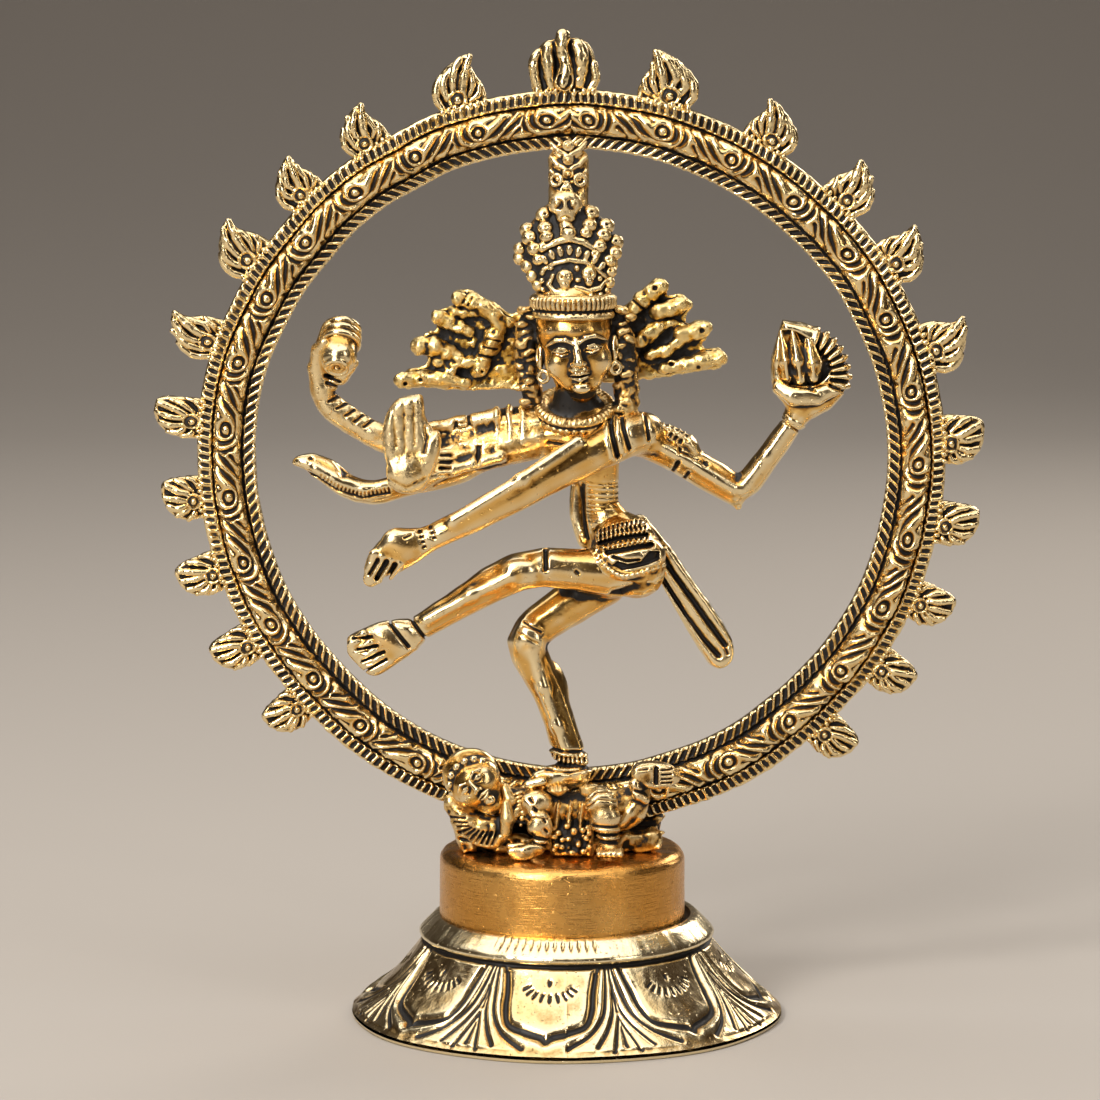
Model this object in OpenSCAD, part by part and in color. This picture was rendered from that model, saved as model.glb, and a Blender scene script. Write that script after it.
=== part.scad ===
// Brass nataraja statue: a dancing figure inside a ring of flames, standing on a dwarf,
// a plain drum and a hollow lotus base. The castings are brazed or clamped by one stud.
// Millimetres, +Z up, the figure faces -Y, and the origin is the middle of the base on the table.

/* [Lotus base] */
// Radius of the base where it meets the table
base_r = 39; // [38:0.5:41]
// Height of the skirt up to the groove under the collar
skirt_h = 13.6; // [12.6:0.2:14.4]
// Height of the whole lotus base, to the collar's lip
base_h = 18.8; // [18.4:0.2:20]
// Wall of the hollow base and drum
wall = 2.1; // [1.8:0.1:2.4]
// Number of large lotus petals
petals = 8; // [6:1:10]
// How far a petal stands out of the skirt
petal_relief = 0.5; // [0.3:0.1:0.8]

/* [Drum] */
// Radius of the plain drum
drum_r = 22.25; // [21.5:0.25:22.25]
// Height of the drum
drum_h = 13; // [11:0.5:15]
// How far the drum sits off the base's axis, as it was hand fitted
drum_shift = -0.8; // [-0.9:0.1:0.9]
// Rounding of the drum's top edge
drum_round = 2.2; // [1:0.2:3]

/* [Flame ring] */
// Inner radius of the ring
ring_in_r = 56.2; // [55.6:0.2:56.6]
// Outer radius of the ring, without flames
ring_out_r = 66.8; // [66.4:0.2:67.2]
// Height of the ring's centre over the drum's top
ring_rise = 69.5; // [69.5:0.1:70]
// How far the ring's centre sits to the viewer's right of the base's axis
ring_shift = 0.8; // [-1:0.1:1]
// Heights of the side flames over the ring, on the viewer's left
left_heights = [8.5, 7.5, 7.6, 8.3, 8.9, 8.5, 7.1, 7.8, 8.1, 7.5];
// Heights of the side flames over the ring, on the viewer's right
right_heights = [8.7, 7.2, 8, 7.8, 7.6, 7.3, 7.4, 7.3, 7.3, 7.1];
// Widths of the side flames, on the viewer's left
left_widths = [9.2, 8.1, 7.9, 8.8, 7.9, 7.4, 8, 7.6, 7.4, 7.2];
// Widths of the side flames, on the viewer's right
right_widths = [10.2, 9.2, 8.4, 8.7, 9.5, 9, 8, 7.5, 7.6, 7.5];
// Height of the top flame over the ring
top_flame_h = 10.9; // [9.5:0.1:11.5]
// Angles of the side flames from the top, on the viewer's left
left_angles = [16.7, 32.1, 44.5, 57.1, 70.7, 83, 95.1, 106.8, 119.1, 131.5];
// Angles of the side flames from the top, on the viewer's right
right_angles = [14.2, 31, 45.5, 57.6, 72, 86.2, 99, 111.6, 123.3, 136.5];

/* [Fixing stud] */
// Radius of the stud that clamps figure, drum and base
stud_r = 2.5; // [2:0.25:2.5]

/* [Hidden] */
deck_z = base_h - 1 + drum_h; // the drum's top face, on which the dwarf lies
seat_z = base_h - 1;          // the plate inside the collar, on which the drum stands
figure_datum = 30.8;          // deck height over which the figure's stations are drawn
ring_z = deck_z + ring_rise;
ring_back = 2.4;              // depth of the ring behind its middle plane
stud_clearance = 0.2;
washer_t = 1;
nut_h = 4;
nut_flats = 8;
stud_tail = 1.4;              // stud showing under the nut
stud_depth = 3.5;             // stud let into the plinth
brass = [0.78, 0.6, 0.32];
dark_brass = [0.42, 0.33, 0.2];
raw_brass = [0.85, 0.66, 0.25];
steel = [0.6, 0.6, 0.62];

function two_digits(i) = i < 10 ? str("0", i) : str(i);
function flame_names(side) = [for (i = [1 : 10]) str("flame_", side, "_", two_digits(i))];

// ---------- lofted bodies ----------
// A station is [x, y, z, half_width, half_depth]; depth runs along Y as far as the limb's line lets it.

function unit(v) = v / norm(v);
function place(s) = [s[0], s[1], s[2]];
function line_at(st, i) = unit(place(st[min(i + 1, len(st) - 1)]) - place(st[max(i - 1, 0)]));

// Catmull-Rom stations between the ones that are given
function blend(a, b, c, d, t) =
    0.5 * (2 * b + (c - a) * t + (2 * a - 5 * b + 4 * c - d) * t * t + (3 * b - a - 3 * c + d) * t * t * t);
function smoothed(st, steps) = concat(
    [for (i = [0 : len(st) - 2]) for (k = [0 : steps - 1])
        blend(st[max(i - 1, 0)], st[i], st[i + 1], st[min(i + 2, len(st) - 1)], k / steps)],
    [st[len(st) - 1]]
);

// One station moved along the line and shrunk, to close an end with a dome
function dome_station(s, dir, angle) =
    let (shift = dir * sin(angle) * min(s[3], s[4]))
    [s[0] + shift[0], s[1] + shift[1], s[2] + shift[2], s[3] * cos(angle), s[4] * cos(angle)];
function domed(st) =
    let (last = len(st) - 1)
    concat(
        [for (angle = [72, 40]) dome_station(st[0], -line_at(st, 0), angle)],
        st,
        [for (angle = [40, 72]) dome_station(st[last], line_at(st, last), angle)]
    );

function ring_points(st, i, sides) =
    let (
        along = line_at(st, i),
        across = unit(cross([0, 1, 0], along)),
        deep = cross(along, across)
    )
    [for (k = [0 : sides - 1])
        let (angle = 360 * k / sides)
        place(st[i]) + across * st[i][3] * cos(angle) + deep * st[i][4] * sin(angle)];

module loft(stations, sides = 10, steps = 2) {
    st = domed(smoothed(stations, steps));
    count = len(st);
    points = [for (i = [0 : count - 1]) each ring_points(st, i, sides)];
    first_cap = [for (k = [sides - 1 : -1 : 0]) k];
    last_cap = [for (k = [0 : sides - 1]) (count - 1) * sides + k];
    skin = [for (i = [0 : count - 2]) for (k = [0 : sides - 1])
        let (a = i * sides + k, b = i * sides + (k + 1) % sides)
        each [[a, b, b + sides], [a, b + sides, a + sides]]];
    polyhedron(points, concat([[for (k = first_cap) k]], skin, [last_cap]), convexity = 8);
}

// Moves what was drawn over the datum deck onto this statue's own deck
module on_deck() translate([0, 0, deck_z - figure_datum]) children();

// ---------- base and fixing ----------

function skirt_r(z) = // slightly hollow flank of the skirt
    let (t = (z - 1.2) / (skirt_h - 1.2))
    base_r + (26.4 - base_r) * t - 1.1 * sin(180 * t);

module petal_pads() {
    inner_cut = 0.4;
    intersection() {
        rotate_extrude($fn = 96)
            polygon(concat(
                [for (k = [0 : 6]) let (z = 1.2 + (skirt_h - 1.7) * k / 6) [skirt_r(z) + petal_relief, z]],
                [for (k = [6 : -1 : 0]) let (z = 1.2 + (skirt_h - 1.7) * k / 6) [skirt_r(z) - inner_cut, z]]
            ));
        for (i = [0 : petals - 1])
            rotate([0, 0, 83 + 360 * i / petals])
                rotate([90, 0, 90])
                    translate([0, 0, 20])
                        linear_extrude(24)
                            polygon([[-4.2, 13], [-7.6, 8.4], [-7.8, 5.2], [-4.6, 2.6], [0, 1.4],
                                     [4.6, 2.6], [7.8, 5.2], [7.6, 8.4], [4.2, 13]]);
    }
}

module lotus_base() {
    plate_z = seat_z - wall + 0.1;
    color(brass) difference() {
        union() {
            rotate_extrude($fn = 96)
                polygon(concat(
                    [[base_r - 2.4, 0], [base_r, 0]],
                    [for (k = [0 : 6]) let (z = 1.2 + (skirt_h - 1.2) * k / 6) [skirt_r(z), z]],
                    [[25.7, skirt_h + 0.3], [25.8, skirt_h + 0.6], [26.6, skirt_h + 1],
                     [25.6, base_h - 2.2], [23.6, base_h]],
                    [[stud_r + stud_clearance, base_h], [stud_r + stud_clearance, plate_z]],
                    [[20.5, plate_z], [24.6, skirt_h - 1.8], [base_r - 4, 1.6]]
                ));
            petal_pads();
        }
        translate([drum_shift, 0, seat_z]) cylinder(h = 3, r = drum_r + 0.1, $fn = 96);
    }
}

module pedestal_drum() {
    top = seat_z + drum_h;
    color(brass) difference() {
        translate([drum_shift, 0, 0])
            rotate_extrude($fn = 96)
                polygon(concat(
                    [[drum_r - wall, seat_z], [drum_r, seat_z]],
                    [for (a = [0 : 15 : 90])
                        [drum_r - drum_round + drum_round * cos(a), top - drum_round + drum_round * sin(a)]],
                    [[0, top], [0, top - wall - 0.4], [drum_r - wall, top - wall - 0.4]]
                ));
        translate([0, 0, seat_z]) cylinder(h = drum_h + 1, r = stud_r + stud_clearance, $fn = 48);
    }
}

module fixing_stud() {
    bottom = seat_z - wall + 0.1 - washer_t - nut_h - stud_tail;
    color(steel) translate([0, 0, bottom]) {
        cylinder(h = 0.6, r1 = stud_r - 0.6, r2 = stud_r, $fn = 48);
        translate([0, 0, 0.6]) cylinder(h = deck_z + stud_depth - bottom - 0.6, r = stud_r, $fn = 48);
    }
}

module fixing_washer() {
    color(steel) translate([0, 0, seat_z - wall + 0.1 - washer_t]) difference() {
        cylinder(h = washer_t, r = 2 * stud_r + 0.5, $fn = 48);
        translate([0, 0, -1]) cylinder(h = washer_t + 2, r = stud_r + stud_clearance, $fn = 48);
    }
}

module fixing_nut() {
    color(steel) translate([0, 0, seat_z - wall + 0.1 - washer_t - nut_h]) difference() {
        cylinder(h = nut_h, r = nut_flats / 2 / cos(30), $fn = 6);
        translate([0, 0, -1]) cylinder(h = nut_h + 2, r = stud_r, $fn = 48);
    }
}

// ---------- dwarf and the plinth under the ring ----------

module figure_plinth() {
    color(dark_brass) difference() {
        on_deck() translate([0, 4.6, figure_datum]) rotate([90, 0, 0])
            linear_extrude(11.6)
                polygon([[-19.4, 0], [-20.6, 6.6], [-22.6, 11.4], [-15, 9.8], [-6, 8.6],
                         [6, 8.6], [14, 9.6], [21, 11.6], [17.4, 6.4], [16, 0]]);
        translate([ring_shift, 0, ring_z]) rotate([90, 0, 0])
            cylinder(h = 30, r = ring_out_r, center = true, $fn = 120);
        translate([0, 0, deck_z - 1]) cylinder(h = stud_depth + 1, r = stud_r, $fn = 48);
    }
}

module dwarf_torso() {
    color(dark_brass) on_deck() loft([
        [-13.5, -6.5, 41.2, 2.6, 3], [-9, -6.4, 39.8, 3, 3.8], [-2, -6.2, 39.1, 3.1, 4],
        [5, -6.2, 39, 3.1, 4], [10, -6, 39.8, 2.8, 3.4], [13, -5.4, 41.2, 2, 2.4]
    ], sides = 12);
}

module dwarf_head() {
    color(brass) on_deck() loft([
        [-18.4, -7.6, 46.2, 2.6, 2.6], [-17, -8.6, 44.6, 4.2, 4.2],
        [-15.2, -9.4, 42.6, 4.1, 4.2], [-13.8, -10, 40.8, 2.7, 2.9]
    ], sides = 14);
}

module dwarf_near_arm() {
    color(brass) on_deck() loft([
        [-5.6, -8.6, 41.4, 2.4, 2.2], [-5.5, -10.6, 38.5, 2.3, 2.1], [-4.7, -11.4, 35.5, 2, 1.9],
        [-4.8, -11.9, 33.4, 1.6, 1.6], [-6, -12.6, 32.2, 1.3, 1.9], [-8, -13, 31.9, 1.1, 2.2],
        [-9.8, -13.2, 31.8, 0.8, 2.1]
    ]);
}

module dwarf_far_arm() {
    color(dark_brass) on_deck() loft([
        [-19.2, -5.6, 40, 1.3, 1.8], [-18.8, -7.4, 37, 1.5, 1.9], [-16.2, -9.4, 34.4, 1.6, 2],
        [-12.6, -10.4, 33.8, 1.5, 1.8], [-10.8, -10.8, 36.2, 1.3, 1.4], [-10.7, -10.6, 39.6, 1.4, 1.1]
    ]);
}

module dwarf_front_leg() {
    color(brass) on_deck() loft([
        [5.6, -7.6, 41.2, 2.7, 2.4], [6.2, -10.4, 39.6, 3.1, 2.8], [6.8, -11.8, 37.6, 2.8, 2.7],
        [7.4, -12, 35.2, 1.8, 1.9], [7.5, -12, 33.4, 2, 2.1], [7.6, -12.3, 31.9, 2.7, 2.8],
        [7.6, -12.4, 31.2, 0.6, 0.7]
    ]);
}

module dwarf_raised_leg() {
    color(brass) on_deck() loft([
        [9.6, -6.4, 36.8, 2.4, 2.6], [12.4, -7, 38.6, 2.3, 2.4], [12.9, -7, 41.6, 1.7, 2],
        [13, -6.4, 44, 1.8, 2.1], [15, -6.6, 45.2, 2, 2.4], [18, -6.8, 45, 2.1, 2.6],
        [19.2, -6.8, 44.8, 1.5, 2.3]
    ]);
}

module dwarf_loincloth() {
    pleats = 4;
    half = 3.9;
    color(dark_brass) on_deck() translate([0.9, -6.5, figure_datum])
        linear_extrude(9.8)
            polygon(concat(
                [[half, 0], [-half, 0]],
                [for (k = [0 : 2 * pleats]) [-half + half * k / pleats, k % 2 == 0 ? -3.4 : -4.4]]
            ));
}

// ---------- ring of flames ----------

module ring_band() {
    rib_in = ring_in_r + 2.7;
    rib_out = ring_out_r - 3.1;
    rib_mid = (rib_in + rib_out) / 2;
    rib_half = (rib_out - rib_in) / 2;
    color(brass) translate([ring_shift, 0, ring_z]) rotate([90, 0, 0])
        rotate_extrude($fn = 180)
            polygon(concat(
                [[ring_in_r, -ring_back], [ring_in_r, 0.9], [rib_in - 0.5, 1.2]],
                [for (a = [180 : -20 : 0]) [rib_mid + rib_half * cos(a), 1.6 + 2.4 * sin(a)]],
                [[rib_out + 0.4, 1.2], [ring_out_r, 0.9], [ring_out_r, -ring_back]]
            ));
}

// A flame's outline: u runs round the ring, towards its top, and v away from the ring's centre
module flame_outline(h, w) {
    polygon([
        [-0.46 * w, -0.9], [-0.49 * w, 0.14 * h], [-0.48 * w, 0.36 * h], [-0.37 * w, 0.62 * h],
        [-0.2 * w, 0.82 * h], [0.04 * w, 0.93 * h], [0.26 * w, h], [0.37 * w, 0.9 * h],
        [0.4 * w, 0.64 * h], [0.43 * w, 0.36 * h], [0.48 * w, 0.12 * h], [0.49 * w, -0.9]
    ]);
}

// The top flame's outline, the same on both sides
module top_flame_outline(h, w) {
    half = [[0.49, 0.02], [0.5, 0.2], [0.47, 0.44], [0.36, 0.64], [0.2, 0.78], [0.14, 0.96], [0.06, 1]];
    polygon(concat(
        [[-0.42 * w, -0.9]],
        [for (p = half) [-p[0] * w, p[1] * h]],
        [for (i = [len(half) - 1 : -1 : 0]) [half[i][0] * w, half[i][1] * h]],
        [[0.42 * w, -0.9]]
    ));
}

// side is 1 on the viewer's right, -1 on the left and 0 at the top
module flame(angle, side, h, w) {
    color(brass) translate([ring_shift, 0, ring_z]) rotate([0, angle * (side == 0 ? 1 : side), 0])
        translate([0, 1.4, ring_out_r]) rotate([90, 0, 0])
            linear_extrude(3.2)
                if (side == 0) top_flame_outline(h, w);
                else mirror([side > 0 ? 1 : 0, 0]) flame_outline(h, w);
}

// ---------- head ----------

module crown_stay() {
    color(brass) on_deck() loft([
        [0.3, -3.4, 144.6, 3.6, 2], [0.3, -2.6, 149, 3.7, 2.1], [0.3, -2, 155, 3.8, 2.2]
    ], sides = 12, steps = 1);
}

module crown() {
    color(brass) on_deck() loft([
        [1.8, -3.6, 130.6, 6.8, 5.8], [1, -3.4, 134, 7.7, 5.6], [0.3, -3, 138.6, 9.2, 5],
        [0.3, -2.6, 143, 7.6, 4], [0.3, -2.2, 146, 4.6, 3]
    ], sides = 14);
}

module diadem() {
    color(brass) on_deck() translate([1.1, -4.8, 0])
        rotate_extrude($fn = 72)
            polygon([[5, 126.6], [7.1, 126.6], [7.5, 127.4], [7.2, 128.2], [7.7, 129.2], [7.7, 130.6],
                     [7, 131.2], [5, 131.2]]);
}

module head() {
    color(brass) on_deck() loft([
        [2.6, -6.2, 114.4, 2.9, 3], [2.3, -5.8, 117, 5, 5], [1.8, -5.4, 120.4, 6.3, 6.1],
        [1.3, -5, 124, 6.9, 6.5], [1, -4.8, 128, 6.9, 6.4]
    ], sides = 16);
}

module necklace() {
    color(brass) on_deck() translate([1.4, -3.6, 110.4]) rotate([24, 0, 0])
        rotate_extrude($fn = 72) translate([5.9, 0]) circle(r = 1.5, $fn = 32);
}

module side_lock_left() {
    color(dark_brass) on_deck() loft([
        [-6.4, -3.4, 127.4, 1.6, 2.2], [-7.3, -3.6, 123, 2.1, 2.6], [-7.1, -3.9, 118, 2.1, 2.4],
        [-6.1, -4.1, 113, 2, 2.2]
    ]);
}

module side_lock_right() {
    color(dark_brass) on_deck() loft([
        [8.6, -3.4, 127.4, 1.6, 2.2], [9.8, -3.6, 123, 2.2, 2.6], [10.4, -3.9, 118, 2.3, 2.4],
        [10.6, -4.2, 113.2, 2.4, 2.3], [10.6, -4.4, 109.4, 2.2, 2.2]
    ]);
}

module wing_plate(outline) {
    color(raw_brass) on_deck() translate([0, 2.4, 0]) rotate([90, 0, 0]) linear_extrude(2.8)
        polygon(outline);
}

module hair_wing_left() {
    wing_plate([
        [-4.6, 113.6], [-28.6, 113.7], [-30.2, 115.2], [-27.8, 117.3], [-25.2, 118], [-24.8, 119.4],
        [-26.4, 121.4], [-25.2, 124], [-23.4, 123.9], [-23.6, 127.3], [-21.8, 128.3], [-20.2, 128.8],
        [-19.8, 131], [-17.6, 131.7], [-10, 127], [-4.6, 128.4]
    ]);
}

module hair_wing_right() {
    wing_plate([
        [6, 114.6], [12.9, 115.3], [27.6, 117.2], [28.4, 118.8], [27.4, 120.8], [24.2, 120.6],
        [24.1, 121.8], [25.6, 124], [24.4, 125.8], [21, 125.4], [21.4, 126.6], [22.6, 128.8],
        [20.8, 130.7], [17.4, 130.1], [18, 132.3], [15.8, 133.7], [10.6, 128.4], [6, 127.6]
    ]);
}

// ---------- body ----------

module torso() {
    color(brass) on_deck() {
        loft([
            [8, -3, 86, 4, 3.6], [6.3, -3, 91, 3.2, 3], [6, -3, 96, 3.3, 3.1], [5, -3.3, 101, 4.8, 3.8],
            [3.2, -3.5, 105, 8, 4.3], [2.2, -3.5, 108.4, 8.4, 4.1], [1.6, -3.6, 111, 5, 3.6],
            [1.3, -4, 114, 3.6, 3.5]
        ], sides = 14);
        loft([[1.6, -1.2, 97, 1.1, 1.2], [1.7, -1.4, 91.5, 1.4, 1.3], [3.4, -1.8, 86.4, 1.6, 1.5]]);
    }
}

module hip_wrap() {
    color(brass) on_deck() loft([
        [8.2, -3.4, 89.4, 4, 3.7], [10.6, -3.8, 86.4, 5.3, 4.4], [12.3, -4, 83, 5.4, 4.7],
        [12.6, -4, 80.6, 4.4, 4.2]
    ], sides = 14);
}

module sash_tail() {
    color(brass) on_deck() loft([
        [13, -1.4, 90, 1.6, 1.5], [17.4, -1, 83, 2.6, 1.6], [21.6, -0.6, 75.4, 2.8, 1.5],
        [25.6, -0.4, 68.6, 2.8, 1.4], [28, -0.4, 65.2, 2.7, 1.3]
    ]);
}

module standing_leg() {
    color(brass) on_deck() loft([
        [7.4, -2.2, 79.4, 4.2, 4], [1.6, -2.8, 76, 4.1, 3.9], [-4, -3.6, 72.4, 3.8, 3.8],
        [-7.2, -4.4, 68.6, 3.7, 3.7], [-5.2, -4.4, 63.6, 3.2, 3.3], [-2.4, -4.2, 57.6, 2.9, 3],
        [-0.4, -4.2, 51, 3, 3], [1, -4.4, 46.6, 3, 3], [1, -4.8, 44.2, 2.7, 2.7],
        [-2.4, -6, 43.6, 1.6, 2.7], [-4.9, -7, 43.3, 1.1, 2.7]
    ]);
}

module raised_leg() {
    color(brass) on_deck() loft([
        [13.4, -5, 81.4, 4.4, 4.2], [8, -6, 81.6, 4.5, 4.2], [1.8, -7.4, 82.2, 3.8, 3.8],
        [-4.4, -9, 82.9, 3.6, 3.6], [-8.6, -9.6, 82.2, 3.6, 3.5], [-13.6, -10, 79.8, 3.3, 3.2],
        [-20, -10.2, 75.9, 2.7, 2.7], [-25.6, -10.4, 72.5, 2.4, 2.4], [-29, -10.8, 70.3, 3, 2],
        [-32.6, -11.4, 68.3, 3.6, 1.6], [-35.6, -11.8, 66.8, 3.6, 1.3]
    ], steps = 1, sides = 12);
}

// ---------- arms ----------

module rear_right_arm() {
    color(brass) on_deck() loft([
        [-4, -3, 107.6, 3.6, 3.8], [-9.4, -2.8, 107.6, 3.6, 3.6], [-16, -2.6, 106.6, 3.2, 3.2],
        [-22, -2.4, 105.4, 3.2, 3.1], [-27.6, -2, 104.2, 2.9, 2.9], [-33, -1.8, 105.2, 2.6, 2.6],
        [-38.2, -1.8, 108, 2.5, 2.5], [-42.8, -1.8, 111.6, 2.4, 2.5], [-44, -1.8, 115.6, 2, 2.2],
        [-43.2, -2, 120.4, 2, 2], [-41.8, -2.4, 125, 1.9, 2]
    ]);
}

// Hourglass drum that the rear right hand holds, with its lower skin towards the viewer
module hand_drum() {
    length = 9.6;
    color(brass) on_deck() translate([-40.2, -4.4, 121.6]) rotate([-42, 8, 0])
        rotate_extrude($fn = 48)
            polygon([[0, -length / 2], [2.4, -length / 2], [3, -4], [3.5, -2.4], [3.3, -0.8], [3.1, 0],
                     [3.3, 0.8], [3.5, 2.4], [3, 4], [2.4, length / 2], [0, length / 2]]);
}

module front_right_arm() {
    color(brass) on_deck() loft([
        [-5, -4.6, 105, 3.4, 3.4], [-11, -4.8, 103.8, 3.4, 3.4], [-18, -5, 102, 3.6, 3.4],
        [-23, -5.6, 100.2, 3.6, 3.3], [-26.8, -8.4, 98.8, 3, 2.7], [-27.8, -11, 100.4, 3.5, 2.1],
        [-27.6, -11.8, 103.2, 4.8, 1.6], [-27.8, -12, 106.4, 4.8, 1.4], [-28.2, -12, 109.6, 4, 1.2],
        [-28, -12, 112.4, 2.6, 1.1]
    ]);
}

module arm_serpent() {
    color(brass) on_deck() loft([
        [-18.6, -5, 100, 2.4, 2.4], [-25, -5, 98.4, 2.4, 2.4], [-30, -4.6, 96.8, 2.3, 2.3],
        [-34.6, -4.4, 95.6, 2.3, 2.3],
        [-39.2, -4.4, 96.9, 2.3, 2.3], [-42.8, -4.4, 99.6, 2.4, 2.3], [-46, -4.6, 101, 1.9, 1.9],
        [-48, -4.8, 101, 1.1, 1.2]
    ]);
}

module front_left_arm() {
    color(brass) on_deck() loft([
        [13.4, -5, 106.6, 3.8, 3.8], [10, -7.6, 106, 4, 3.6], [4.2, -10, 103.2, 3.7, 3.5],
        [-3, -11.6, 99.6, 3.4, 3.2], [-10.4, -12.6, 95.4, 3, 2.9], [-18, -13, 91.4, 2.6, 2.6],
        [-24, -13, 88.6, 2.4, 2.4], [-27.6, -13, 87, 3.2, 2.3], [-31, -13, 85.2, 3.3, 2.1],
        [-33.4, -13, 83, 2.6, 1.9], [-34.6, -13, 81.2, 1.7, 1.6]
    ], steps = 1, sides = 12);
}

module rear_left_arm() {
    color(brass) on_deck() loft([
        [9.6, -3, 106.2, 4, 3.8], [14.6, -2.8, 105, 3.6, 3.5], [21, -2.4, 101.2, 3, 3],
        [26.4, -2.2, 98, 3.1, 2.9], [30.2, -2.2, 95.8, 2.9, 2.8], [32.4, -2.2, 97, 2.5, 2.6],
        [36, -2.2, 102, 2.3, 2.4], [39.2, -2.2, 106.4, 2.1, 2.2], [41, -2.2, 109.2, 2.2, 2.3]
    ], steps = 1);
}

module shoulder_ribbon() {
    color(dark_brass) on_deck() loft([
        [14.2, -3.2, 107.8, 1.2, 2.4], [18, -3, 106.6, 1.5, 2.6], [21.6, -2.8, 104.6, 1.5, 2.6],
        [22.8, -2.8, 102.6, 1.2, 2.4]
    ]);
}

module fire_hand() {
    color(brass) on_deck() loft([
        [41, -2.4, 109.4, 2.3, 2.2], [42.2, -2.6, 111.8, 4.6, 2.8], [43.2, -2.8, 114.8, 6.6, 2.8],
        [43.2, -2.8, 118.4, 6.9, 2.4], [42, -2.6, 122, 5.1, 1.9], [40.6, -2.4, 124.8, 2, 1.3]
    ], sides = 14);
}

module fire_tongues() {
    color(brass) on_deck()
        for (t = [[39, 116.4, 8.4, -9], [41.5, 116, 8.6, -12], [43.8, 116.4, 6.4, -7]])
            translate([t[0], -4.6, t[1]]) rotate([8, t[3], 0]) {
                cylinder(h = t[2], r1 = 1.5, r2 = 0.4, $fn = 32);
                sphere(r = 1.5, $fn = 32);
            }
}

// ---------- what is drawn ----------

lotus_base();
pedestal_drum();
fixing_stud();
fixing_washer();
fixing_nut();
figure_plinth();
dwarf_torso();
dwarf_head();
dwarf_near_arm();
dwarf_far_arm();
dwarf_front_leg();
dwarf_raised_leg();
dwarf_loincloth();
ring_band();
flame(-1, 0, top_flame_h, 11.7);  // flame_top
for (i = [0 : 9]) {
    flame(left_angles[i], -1, left_heights[i], left_widths[i]);
    flame(right_angles[i], 1, right_heights[i], right_widths[i]);
}
crown_stay();
crown();
diadem();
head();
necklace();
side_lock_left();
side_lock_right();
hair_wing_left();
hair_wing_right();
torso();
hip_wrap();
sash_tail();
standing_leg();
raised_leg();
rear_right_arm();
hand_drum();
front_right_arm();
arm_serpent();
front_left_arm();
rear_left_arm();
shoulder_ribbon();
fire_hand();
fire_tongues();
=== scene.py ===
"""Looks of the brass nataraja statue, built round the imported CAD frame.

Organic pieces are signed distance fields that start from their CAD node, get their fingers, folds,
bands and chased marks, and are meshed with OpenVDB. The ring, the lotus base and the drum are dense
grids with a chased relief. Lengths are in mm until a mesh is written.
"""

from math import ceil, cos, floor, radians, sin, sqrt

import bpy
import numpy as np
import openvdb as vdb
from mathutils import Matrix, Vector


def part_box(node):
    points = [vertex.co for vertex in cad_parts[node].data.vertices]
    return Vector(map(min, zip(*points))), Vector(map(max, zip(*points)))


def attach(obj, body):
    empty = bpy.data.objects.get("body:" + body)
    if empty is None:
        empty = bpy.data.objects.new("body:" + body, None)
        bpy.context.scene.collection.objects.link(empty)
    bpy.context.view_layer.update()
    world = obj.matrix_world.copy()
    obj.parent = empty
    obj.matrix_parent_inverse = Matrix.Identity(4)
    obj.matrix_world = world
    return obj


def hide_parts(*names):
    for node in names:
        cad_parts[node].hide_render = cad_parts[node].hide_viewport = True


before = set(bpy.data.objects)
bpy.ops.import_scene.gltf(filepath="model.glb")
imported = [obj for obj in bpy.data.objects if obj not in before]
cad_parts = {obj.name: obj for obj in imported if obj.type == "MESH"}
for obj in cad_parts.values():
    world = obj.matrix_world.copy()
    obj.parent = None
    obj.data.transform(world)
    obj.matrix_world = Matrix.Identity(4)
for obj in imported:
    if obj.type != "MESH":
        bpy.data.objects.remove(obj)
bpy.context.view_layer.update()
MM = 0.001
FAR = 2.4  # what a field holds where no metal is near
CLOSED = 0.6  # least value on a grid's faces, so every mesh closes
OUTSIDE = 3.0  # the value past a grid
REACH = 12.0  # how many cells a CAD field goes out from the surface
LONG_WAY = 99.0
FINE, WIDE = 0.42, 1.0  # blurs that tell hollows from high spots, small ones and broad ones
FINE_DEPTH, WIDE_DEPTH = 0.1, 0.3  # how deep a hollow counts as one
MIX_A, MIX_B, MIX_OUT = 6, 7, 2  # the colour sockets of a Mix node


def cad(node):
    """The two corners of a CAD node's box."""
    lo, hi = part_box(node)
    return np.array(lo) / MM, np.array(hi) / MM


# ---------------------------------------------------------------- distance fields

def smin(a, b, k):
    """The smaller of two fields, rounded over k where they meet."""
    if k <= 0:
        return np.minimum(a, b)
    h = np.maximum(k - np.abs(a - b), 0) / k
    return np.minimum(a, b) - h * h * k / 4


def smax(a, b, k):
    return -smin(-a, -b, k)


def step(x, a, b):
    """Smooth step from 0 at a to 1 at b."""
    t = np.clip((x - a) / (b - a), 0, 1)
    return t * t * (3 - 2 * t)


def blur(D, s):
    """Gaussian blur with a sigma of s cells along each axis, edges held."""
    n = int(ceil(3 * s))
    w = np.exp(-0.5 * (np.arange(-n, n + 1) / s) ** 2)
    w /= w.sum()
    for ax in range(D.ndim):
        pad = [(0, 0)] * D.ndim
        pad[ax] = (n, n)
        P = np.pad(D, pad, mode="edge")
        out = np.zeros_like(D)
        for i, wi in enumerate(w):
            sl = [slice(None)] * D.ndim
            sl[ax] = slice(i, i + D.shape[ax])
            out += np.float32(wi) * P[tuple(sl)]
        D = out
    return D


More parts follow.
